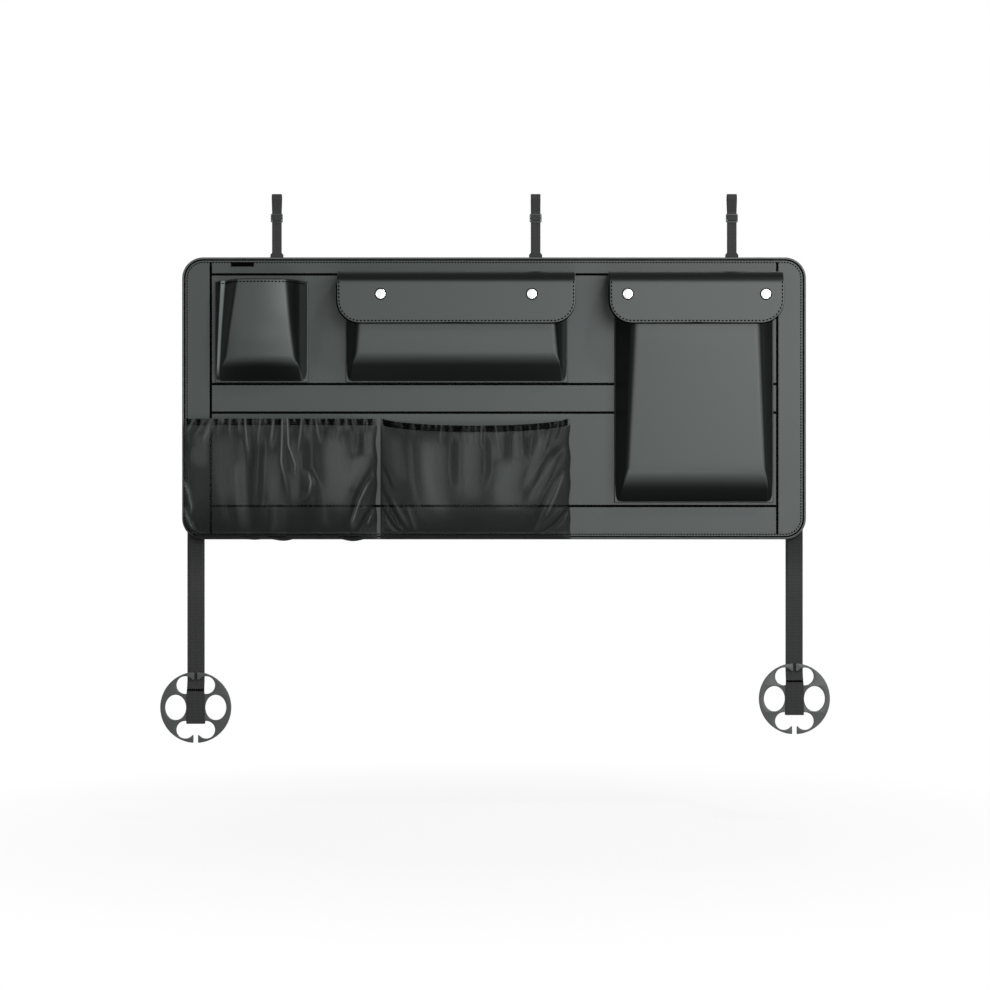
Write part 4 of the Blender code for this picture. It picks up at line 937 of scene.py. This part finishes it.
# Folds of the cloth: kind, half width and height in mm, and a line of (mm from the left seam,
# percent of the way down). A crest is a thin ridge and a bank is a steep slope between two
# levels.
FOLDS = {
    "left": [
        ("crest", 3.1, 3.9, [(18, 0), (4, 16)]),
        ("crest", 3.1, 3.3, [(34, 0), (12, 22)]),
        ("crest", 5.2, 3.9, [(43, 0), (31, 20), (29, 31)]),
        ("crest", 2.9, 2.8, [(56, 0), (50, 17)]),
        ("crest", 3.1, 3.3, [(71, 0), (69, 17)]),
        ("crest", 3.1, 3.3, [(83, 0), (84, 15)]),
        ("crest", 3.1, 4.2, [(92, 0), (96, 25), (100, 38)]),
        ("crest", 3.1, 3.7, [(114, 0), (110, 28)]),
        ("crest", 3.6, 4.0, [(133, 0), (128, 30)]),
        ("crest", 3.1, 5.5, [(146, 0), (145, 36), (157, 67), (163, 74)]),
        ("crest", 3.1, 5.1, [(153, 0), (155, 22), (165, 38), (164, 70)]),
        ("crest", 2.9, 4.0, [(174, 0), (168, 32), (167, 40)]),
        ("crest", 3.4, 3.7, [(193, 0), (202, 25)]),
        ("crest", 3.1, 5.1, [(183, 41), (188, 53), (185, 62), (172, 72)]),
        ("crest", 3.1, 3.3, [(189, 46), (195, 60)]),
        ("crest", 2.6, 2.9, [(245, 0), (251, 12)]),
        ("crest", 2.6, 2.4, [(224, 0), (223, 9)]),
        ("crest", 2.9, 5.0, [(1, 47), (10, 60), (15, 73), (12, 86)]),
        ("crest", 2.9, 4.6, [(2, 71), (9, 83), (20, 96)]),
        ("crest", 3.1, 4.6, [(273, 48), (256, 68), (246, 85), (245, 95)]),
        ("crest", 2.9, 3.7, [(274, 78), (266, 90)]),
        ("bank", 9.0, 7.5, [(106, 6), (104, 38), (99, 93)]),
        ("bank", 6.0, -5.0, [(118, 12), (114, 60), (110, 95)]),
        ("bank", 6.5, 5.5, [(148, 40), (142, 92)]),
        ("bank", 9.0, -7.5, [(181, 7), (181, 41), (196, 58), (202, 94)]),
        ("bank", 5.0, 4.0, [(236, 8), (240, 28), (251, 37)]),
        ("bank", 5.0, -4.0, [(260, 8), (258, 28), (251, 37)]),
        ("bank", 5.0, 4.0, [(207, 6), (207, 28)]),
        ("bank", 4.5, -7.0, [(275, 37), (262, 50), (249, 66), (240, 92)]),
        ("bank", 3.5, -4.5, [(273, 72), (256, 88), (251, 96)]),
        ("bank", 6.0, -5.0, [(18, 20), (16, 36), (5, 49)]),
        ("bank", 8.0, 4.0, [(66, 30), (72, 60), (82, 93)]),
        ("bank", 7.0, -4.0, [(128, 66), (126, 94)]),
    ],
    "right": [
        ("bank", 7.0, 5.5, [(55, 8), (58, 45), (66, 68), (77, 88)]),
        ("bank", 9.5, -8.0, [(108, 4), (107, 40), (111, 72)]),
        ("bank", 7.0, -6.0, [(155, 6), (156, 40), (146, 64)]),
        ("bank", 6.0, 5.0, [(184, 6), (184, 40)]),
        ("bank", 6.0, -4.5, [(212, 8), (210, 26), (216, 35)]),
        ("bank", 7.0, -6.5, [(257, 18), (235, 38), (212, 57), (205, 74)]),
        ("bank", 6.0, -6.5, [(263, 40), (244, 59), (225, 79), (218, 95)]),
        ("bank", 3.2, -5.0, [(272, 72), (253, 84), (225, 97)]),
        ("bank", 3.2, 4.0, [(2, 36), (24, 63)]),
        ("bank", 3.6, 5.0, [(2, 56), (15, 70), (41, 97)]),
        ("bank", 3.0, 4.5, [(2, 72), (19, 87), (36, 97)]),
        ("crest", 3.6, 4.6, [(268, 40), (253, 61), (233, 87)]),
        ("crest", 3.1, 3.5, [(38, 70), (53, 95)]),
        ("crest", 3.1, 3.7, [(127, 2), (128, 20)]),
        ("crest", 3.1, 3.5, [(137, 2), (137, 22)]),
        ("crest", 3.1, 3.7, [(146, 2), (143, 24)]),
        ("crest", 3.4, 4.0, [(166, 2), (172, 30)]),
        ("crest", 3.1, 3.3, [(202, 2), (203, 24)]),
        ("crest", 3.1, 3.1, [(88, 2), (84, 20)]),
        ("crest", 3.4, 3.1, [(244, 4), (232, 30)]),
        ("crest", 2.9, 2.9, [(256, 3), (250, 16)]),
    ],
}


# Broad zones where the cloth is thinner and has a painted sheen: share, half width in mm and a line
# as above
SHEENS = {
    "left": [
        (0.80, 9.0, [(30, 10), (28, 44)]),
        (0.50, 17.0, [(62, 8), (64, 40), (72, 78)]),
        (0.85, 9.0, [(84, 30), (86, 60), (94, 99)]),
        (0.70, 11.0, [(131, 22), (134, 55), (142, 78), (144, 98)]),
        (0.80, 6.0, [(163, 14), (166, 45), (164, 74)]),
        (0.95, 18.0, [(222, 10), (226, 45), (220, 82)]),
        (0.80, 12.0, [(262, 28), (254, 42), (236, 60)]),
        (0.60, 6.0, [(268, 8), (270, 36)]),
        (0.40, 6.0, [(112, 4), (112, 24)]),
    ],
    "right": [
        (0.95, 18.0, [(74, 6), (77, 45), (84, 92)]),
        (0.90, 12.5, [(131, 3), (131, 40), (132, 72)]),
        (0.80, 7.0, [(170, 3), (168, 35)]),
        (0.90, 18.0, [(186, 26), (182, 55), (188, 80)]),
        (0.75, 6.0, [(198, 3), (199, 34)]),
        (0.75, 7.0, [(240, 6), (222, 36), (206, 62)]),
        (0.60, 6.0, [(252, 26), (232, 52), (214, 74)]),
        (0.55, 6.0, [(262, 44), (244, 66), (232, 84)]),
        (0.35, 9.0, [(20, 10), (34, 55)]),
    ],
}


def mouth_rise(across):
    """How far the mouth stands off the panel: a power of a parabola from seam to seam."""
    return MESH_MOUTH_DEPTH * (4 * across * (1 - across)) ** 0.7


def mouth_line(net, across):
    """Height of the mouth, which sags by the root of a parabola from seam to seam."""
    return net["top"] - net["sag"] * (4 * across * (1 - across)) ** 0.5


def net_surface(net):
    """Sheer cloth between its seams, before its folds, over u across and v down.

    Its depth runs from the mouth's to the belly's with 1 - (1 - v)^2. The belly is its full
    depth times a power of a sine down and of 1 - |2u - 1|^3 across. Where the net has a corner,
    its left side follows the panel's round corner and its lower edge is wavy. Its right side
    ripples. edge fades the folds out within 12 mm of the seams, and lift is the height of the
    edge tape near the panel's rim.
    """
    left, right = net["x"]
    u, v = np.meshgrid(np.linspace(0, 1, CLOTH_COLUMNS), np.linspace(0, 1, CLOTH_ROWS))
    top, bottom, side = mouth_line(net, u), NET_BOTTOM_Z, np.full_like(u, left)
    if net["corner"]:
        wave = np.clip(np.sin(u * 23.0 + 0.6) * np.sin(u * 9.0), -0.1, 1)
        bottom = bottom - 0.0030 * wave * np.clip(u * 5 - 0.7, 0, 1)
    z = top + (bottom - top) * v
    if net["corner"]:
        short = PANEL_CORNER - np.clip(z + PANEL_HEIGHT / 2, 0, PANEL_CORNER)
        side = left + PANEL_CORNER - np.sqrt(np.clip(PANEL_CORNER**2 - short**2, 0, None))
    ripple = 0.0016 * np.sin(v * 19.0 + 1.0) * np.sin(v * 7.0) * np.abs(2 * u - 1) ** 12
    x = side + (right - side) * u + ripple * (u > 0.5)
    arch = (1 - np.abs(2 * u - 1) ** 3) ** 0.6
    down = np.sin(math.pi * np.minimum(1.0, 0.22 + 0.78 * v)) ** 0.7
    base = (1 - v) ** 2 * mouth_rise(u) + (1 - (1 - v) ** 2) * MESH_BELLY_DEPTH * down * arch
    edge = np.clip(np.minimum(u, 1 - u) * (right - left) / 0.012, 0, 1)
    from_rim = np.minimum(PANEL_WIDTH / 2 - np.abs(x), PANEL_HEIGHT / 2 - np.abs(z))
    lift = np.where(from_rim < 0.0100, TAPE_THICK + 2 * GAP, GAP)
    return u, v, x, z, base, lift, edge


def fold_shape(kind, half, high, line, x, v):
    """One fold's height over the cloth and its share of 0 to 1, across its line of points.

    A crest is exp(-t^2), a bank is t exp(-t^2 / 2) and a zone is level with a share of
    exp(-t^4), t being the distance from the line over the half width. Each fades out at its
    ends, except where it starts at the mouth.
    """
    at_x, at_v = (np.array(line, float) / (1000, 100)).T
    centre = np.interp(v, at_v, at_x)
    lean = np.gradient(centre, axis=0) / np.maximum(np.gradient(v, axis=0) * 0.174, 1e-9)
    t = (x - centre) / np.sqrt(1 + lean**2) / (half / 1000)
    start, end = at_v[0], at_v[-1]
    ahead = (v - start) / (end - start) if start > 0.03 else np.ones_like(v)
    fade = 0.30 if end > 0.85 or kind == "zone" else 0.55
    share = eased(np.minimum(ahead / 0.22, (end - v) / (end - start) / fade))
    if kind == "zone":
        return 0.0, np.exp(-(t**4)) * share
    if kind == "crest":
        bell = np.exp(-(t**2)) * share
        return bell * high / 1000, bell
    return t * np.exp(-(t**2) / 2) * share * high / 1000, share


def net_folds(name, u, v, x, width):
    """Height of a cloth's gathers and folds, how lit its ridges are, and how lit its zones.

    A gather is exp(-t^2), t being the distance from its leaning line over its spread, and
    fades out in a straight line down to its reach.
    """
    seed, count, bright, crest_bright = GATHERS[name]
    rng = np.random.default_rng(seed)
    height, fold, glow = np.zeros_like(u), np.zeros_like(u), np.zeros_like(u)
    for number in range(count):
        place = (number + rng.uniform(0.1, 0.9)) / count
        reach, lean = rng.uniform(0.05, 0.22), rng.uniform(-0.04, 0.04)
        spread = rng.uniform(0.0012, 0.0022) * (1 + 3 * v / reach) / width
        ridge = np.exp(-(((u - place - lean * v) / spread) ** 2)) * np.clip(1 - v / reach, 0, 1)
        height += rng.uniform(0.0010, 0.0022) * ridge
        fold = np.maximum(fold, bright * ridge)
    for kind, half, high, line in FOLDS[name]:
        bump, ridge = fold_shape(kind, half, high, line, x, v)
        height += bump
        if kind == "crest":
            fold = np.maximum(fold, ridge * min(1.0, high / 4.6) * crest_bright)
    for light, half, line in SHEENS[name]:
        glow = np.maximum(glow, light * fold_shape("zone", half, 0.0, line, x, v)[1])
    return height, fold, glow


def make_nets():
    """Gathered cloth pockets: net_surface's depth and the height of net_folds.

    Attribute fold is the larger of fold^1.5 and a part of the glow. Attribute dense falls with
    the glow and rises with the crests; it is low in the mouth between the gathers, higher below
    the lowest seam, and 1 along the lower edge.
    """
    for name, net in NETS.items():
        u, v, x, z, base, lift, edge = net_surface(net)
        left, right = net["x"]
        width = right - left
        height, fold, glow = net_folds(name, u, v, x - left, width)
        depth = lift + MESH_THICK / 2 + base + height * edge
        crest = np.clip(fold, 0, 1) ** 1.5
        low = np.clip((v - 0.72) / 0.03, 0, 1)
        dense = np.maximum(0.60 + 0.03 * low - (0.40 - 0.24 * low) * glow, 0.85 * crest)
        closed = np.clip(np.maximum(1.6 * fold, 0.3 * glow), 0, 1)
        open_mouth = np.clip((0.066 - v) / 0.012, 0, 1) * (1 - closed)
        dense = dense - (dense - 0.10) * open_mouth
        dense = np.maximum(dense, np.clip((v - 0.955) / 0.02, 0, 1))
        lit = np.maximum(crest, 0.58 * glow * (1 - 0.45 * low)) * (1 - 0.2 * low)
        grid = stacked(x, COVER_FRONT_Y - depth, z)
        cloth = add_piece(f"{name}_satin", grid, grid_faces(*u.shape), SATIN)
        # Painted highlight on crests and gathers and painted sheen on the broad zones, as a lighter
        # colour
        set_attribute(cloth, "fold", lit)
        set_attribute(cloth, "dense", dense)
        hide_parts(f"{name}_mesh_pocket")
        make_elastic(name, net)


def make_elastic(name, net):
    """Flat elastic just inside the mouth, from seam to seam, along mouth_line and mouth_rise."""
    left, right = net["x"]
    u = np.linspace(0.012, 0.988, 60)
    drop = GAP + (ELASTIC_HEIGHT - GAP) * np.linspace(0, 1, 7)[:, None]
    z = mouth_line(net, u) - drop
    grid = stacked(left + (right - left) * u, COVER_FRONT_Y - mouth_rise(u), z)
    band = slab(f"{name}_elastic_band", grid, MESH_THICK, ELASTIC)
    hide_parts(f"{name}_elastic")


# ---- straps, sliders and discs
def strap(name, path, x, widths, thickness, node_name):
    """Webbing along a path of (y, z) points with its width at each point."""
    across = np.array([-1, -0.985, -0.94, -0.6, -0.2, 0.2, 0.6, 0.94, 0.985, 1]) / 2
    grid = stacked(x + widths[:, None] * across, path[:, :1], path[:, 1:])
    made = slab(name, grid, thickness, WEBBING, centred=True)
    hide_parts(node_name)


def headrest_path():
    """Up from the panel, over the slider's middle bar, round the post and back to that bar."""
    step = HEADREST_WEB_THICK + GAP
    slider_y = WEB_Y - SLIDER_THICK / 2 - GAP - HEADREST_WEB_THICK / 2
    bar_front = slider_y - SLIDER_THICK / 2 - GAP - HEADREST_WEB_THICK / 2
    bar_side = SLIDER_CENTRE_BAR / 2 + GAP + HEADREST_WEB_THICK / 2
    through = (bar_side + step / 2 + SLIDER_SIZE[1] / 2 - SLIDER_BAR) / 2 + step / 8
    back_y = WEB_Y + step
    loop_y = (WEB_Y + back_y) / 2
    loop_z = HEADREST_TOP_Z - HEADREST_WEB_THICK / 2 - LOOP_RADIUS
    start_z = PANEL_HEIGHT / 2 - HEADREST_TAIL
    fork_z = SLIDER_Z + SLIDER_SIZE[1] / 2 + 2 * step
    foot_z = PANEL_HEIGHT / 2 + HEADREST_FOOT_RISE
    corners = [
        (WEB_Y, foot_z + HEADREST_FOOT_RISE),
        (WEB_Y, SLIDER_Z - through),
        (bar_front - step, SLIDER_Z - through),
        (bar_front - step, SLIDER_Z + through),
        (WEB_Y, SLIDER_Z + through),
        (WEB_Y, fork_z),
        (loop_y - LOOP_RADIUS, loop_z),
        (loop_y - LOOP_RADIUS, loop_z + LOOP_RADIUS),
        (loop_y + LOOP_RADIUS, loop_z + LOOP_RADIUS),
        (loop_y + LOOP_RADIUS, loop_z),
        (back_y, fork_z),
        (back_y, SLIDER_Z - bar_side),
        (bar_front, SLIDER_Z - bar_side),
        (bar_front, SLIDER_Z + bar_side),
        (WEB_Y, SLIDER_Z + bar_side),
    ]
    tight = 0.6 * HEADREST_WEB_THICK
    radii = [tight] * 4 + [WEB_BEND] * 2 + [LOOP_ROUND] * 2 + [WEB_BEND] * 2 + [tight] * 3
    foot = [(WEB_Y, start_z), (WEB_Y, foot_z), (WEB_Y, foot_z + HEADREST_FOOT_RISE)]
    foot = divided(foot, [4, 6])
    return np.vstack([foot, filleted(corners, radii, 6)[1:]]), slider_y


def make_headrest_straps():
    path, slider_y = headrest_path()
    foot_z = PANEL_HEIGHT / 2 + HEADREST_FOOT_RISE
    rest = eased((path[:, 1] - foot_z) / HEADREST_FOOT_RISE)
    widths = HEADREST_FOOT_WIDTH + (HEADREST_WEB - HEADREST_FOOT_WIDTH) * rest
    width, height = SLIDER_SIZE
    bevel = SLIDER_BEVEL
    slot_height = height / 2 - SLIDER_BAR - SLIDER_CENTRE_BAR / 2
    slot_width = HEADREST_WEB + 2 * GAP
    rim = rounded_rectangle(width - 2 * bevel, height - 2 * bevel, SLIDER_CORNER - bevel, 8)
    slot = rounded_rectangle(slot_width + 2 * bevel, slot_height + 2 * bevel, 0.0006, 4)
    reach = (SLIDER_CENTRE_BAR + slot_height) / 2
    for side, x in HEADREST_X.items():
        name = f"headrest_strap_{side}"
        strap(f"headrest_webbing_{side}", path, x, widths, HEADREST_WEB_THICK, name)
        outlines = [rim + (x, SLIDER_Z)] + [slot + (x, SLIDER_Z + end * reach) for end in (-1, 1)]
        made = bevelled(f"slider_{side}", outlines, slider_y, SLIDER_THICK, bevel, PLASTIC)
        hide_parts(f"strap_slider_{side}")


def bevelled(name, outlines, y, thickness, bevel, material):
    """Flat moulding parallel to XZ from (x, z) outlines, inner ones being holes, with round
    edges."""
    curve = bpy.data.curves.new(name, "CURVE")
    curve.dimensions = "2D"
    curve.fill_mode = "BOTH"
    curve.extrude = thickness / 2 - bevel
    curve.bevel_depth, curve.bevel_resolution = bevel, 3
    for outline in outlines:
        count = len(outline)
        spline = curve.splines.new("POLY")
        spline.points.add(count - 1)
        points = np.column_stack([outline, np.zeros(count), np.ones(count)])
        spline.points.foreach_set("co", points.ravel())
        spline.use_cyclic_u = True
    flat = put(name + "_outline", curve)
    bpy.context.view_layer.update()
    seen = flat.evaluated_get(bpy.context.evaluated_depsgraph_get())
    mesh = bpy.data.meshes.new_from_object(seen)
    bpy.data.objects.remove(flat)
    x, z, out = vertex_values(mesh, "co").T
    mesh.vertices.foreach_set("co", stacked(x, y - out, z).ravel())
    weld(mesh, 1e-6, sharp_from=0.6)
    return carried(name, mesh, material, "organizer")


def contours(field, side):
    """Closed outlines of a field's zero level on a square grid, by marching over its cells.

    A cell's code says which of its four points lie inside, and the table says for each code
    from which to which of the cell's edges an outline runs.
    """
    segments = {}
    inside = field < 0
    code = inside[:-1, :-1] * 1 + inside[:-1, 1:] * 2 + inside[1:, 1:] * 4 + inside[1:, :-1] * 8
    table = {
        1: ((3, 0),), 2: ((0, 1),), 3: ((3, 1),), 4: ((1, 2),), 5: ((3, 2), (1, 0)), 6: ((0, 2),),
        7: ((3, 2),), 8: ((2, 3),), 9: ((2, 0),), 10: ((0, 3), (2, 1)), 11: ((2, 1),),
        12: ((1, 3),), 13: ((1, 0),), 14: ((0, 3),),
    }
    for i, j in np.argwhere((code > 0) & (code < 15)):
        edges = ((i, j, 0), (i, j + 1, 1), (i + 1, j, 0), (i, j, 1))
        for start, end in table[int(code[i, j])]:
            segments[tuple(int(k) for k in edges[start])] = tuple(int(k) for k in edges[end])
    outlines = []
    while segments:
        first = next(iter(segments))
        chain, key = [], first
        while key in segments:
            chain.append(key)
            key = segments.pop(key)
        points = []
        for i, j, kind in chain:
            a, b = field[i, j], field[i, j + 1] if kind == 0 else field[i + 1, j]
            step = (side[1] - side[0]) * a / (a - b)
            points.append((side[j] + step * (kind == 0), side[i] + step * (kind == 1)))
        outlines.append(np.array(points))
    return outlines


def disc_outlines():
    """Outlines of an anchor disc about its own centre: rim, eyes, lobed windows and slots.

    The field is the distance outside the rim, with each opening's distance field cut from it.
    """
    side = np.linspace(-0.054, 0.054, 240)
    x, z = np.meshgrid(side, side)
    solid = np.hypot(x, z) - DISC_RADIUS
    eye_x, eye_rx, eye_rz = DISC_EYE
    lobe_x, lobe_z, lobe_radius = DISC_LOBE
    middle, half = (DISC_BARB_Z + HUB_HALF_HEIGHT) / 2, (DISC_BARB_Z - HUB_HALF_HEIGHT) / 2
    for end, turn in (("bottom", -1), ("top", 1)):
        eye = (np.hypot((x - turn * eye_x) / eye_rx, z / eye_rz) - 1) * eye_rx
        window = np.maximum(np.abs(x) - lobe_x, np.abs(turn * z - middle) - half)
        for lobe_side in (-1, 1):
            lobe = np.hypot(x - lobe_side * lobe_x, z - turn * lobe_z) - lobe_radius
            window = np.minimum(window, lobe)
        slot = np.maximum(np.abs(x) - DISC_SLOT[end] / 2, DISC_BARB_Z - DISC_THICK - turn * z)
        solid = np.maximum(solid, -np.minimum(np.minimum(eye, window), slot))
    return contours(solid + DISC_BEVEL, side)


def anchor_path(disc_z, disc_y):
    """Down behind the disc's rim, over the front of its hub and up behind it."""
    clear = DISC_THICK / 2 + GAP + ANCHOR_WEB_THICK / 2
    below = disc_z - HUB_HALF_HEIGHT - GAP - ANCHOR_WEB_THICK / 2
    corners = [
        (WEB_Y, ANCHOR_TAIL_Z),
        (WEB_Y, disc_z + DISC_BARB_Z - ANCHOR_WEB_THICK),
        (disc_y - clear, disc_z + HUB_HALF_HEIGHT + ANCHOR_WEB_THICK),
        (disc_y - clear, below),
        (disc_y + clear, below),
        (disc_y + clear, disc_z + HUB_HALF_HEIGHT / 2),
    ]
    tight = GAP + ANCHOR_WEB_THICK / 2
    return filleted(corners, [ANCHOR_BEND, ANCHOR_BEND, tight, tight], 8)


def make_anchors():
    disc_y = WEB_Y - ANCHOR_WEB_THICK / 2 - GAP - DISC_THICK / 2
    outlines = disc_outlines()
    for side, (x, z) in ANCHOR.items():
        path = divided(anchor_path(z, disc_y), 2)
        share = np.clip((z + HUB_HALF_HEIGHT + 0.004 - path[:, 1]) / 0.008, 0, 1)
        widths = ANCHOR_WEB + (ANCHOR_WRAP_WIDTH - ANCHOR_WEB) * share
        name = f"anchor_strap_{side}"
        strap(f"anchor_webbing_{side}", path, x, widths, ANCHOR_WEB_THICK, name)
        # A row of wide dark stitches where the strap bends forward over the hub: a seam, and also
        # painted shade for that bend
        level = z + HUB_HALF_HEIGHT + 0.0034
        front = path[: len(path) // 2]
        front_y = np.interp(-level, -front[:, 1], front[:, 0]) - ANCHOR_WEB_THICK / 2
        row = resampled([(x + end * ANCHOR_WEB / 2, front_y, level) for end in (-1, 1)], 0.004)
        sew(f"anchor_thread_and_shade_{side}", row, TO_VIEWER, ANCHOR_STITCH_AND_SHADE)
        there = [outline + (x, z) for outline in outlines]
        made = bevelled(f"disc_{side}", there, disc_y, DISC_THICK, DISC_BEVEL, PLASTIC)
        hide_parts(f"anchor_disc_{side}")


bpy.context.scene.view_settings.view_transform = "Standard"
set_camera()
set_world(0.12)
set_floor()
lamp("key", (1.4, -3.5, 0.5), (0.0, 0.0, -0.05), (2.2, 1.8), 84.0)
lamp("low", (0.7, -2.9, -1.5), (0.0, 0.0, 0.0), (2.4, 0.7), 34.0)
lamp("top", (1.2, -1.8, 2.3), (0.0, 0.0, 0.0), (0.3, 0.3), 30.0)
lamp("strip", (-2.6, -2.4, 0.1), (-0.2, 0.0, 0.0), (0.35, 2.4), 20.0)
lamp("back", (0.9, 2.8, 1.2), (0.0, 0.0, -0.1), (1.8, 1.6), 45.0)
dress_panel()
make_binding()
make_pockets()
make_flaps()
make_nets()
make_headrest_straps()
make_anchors()
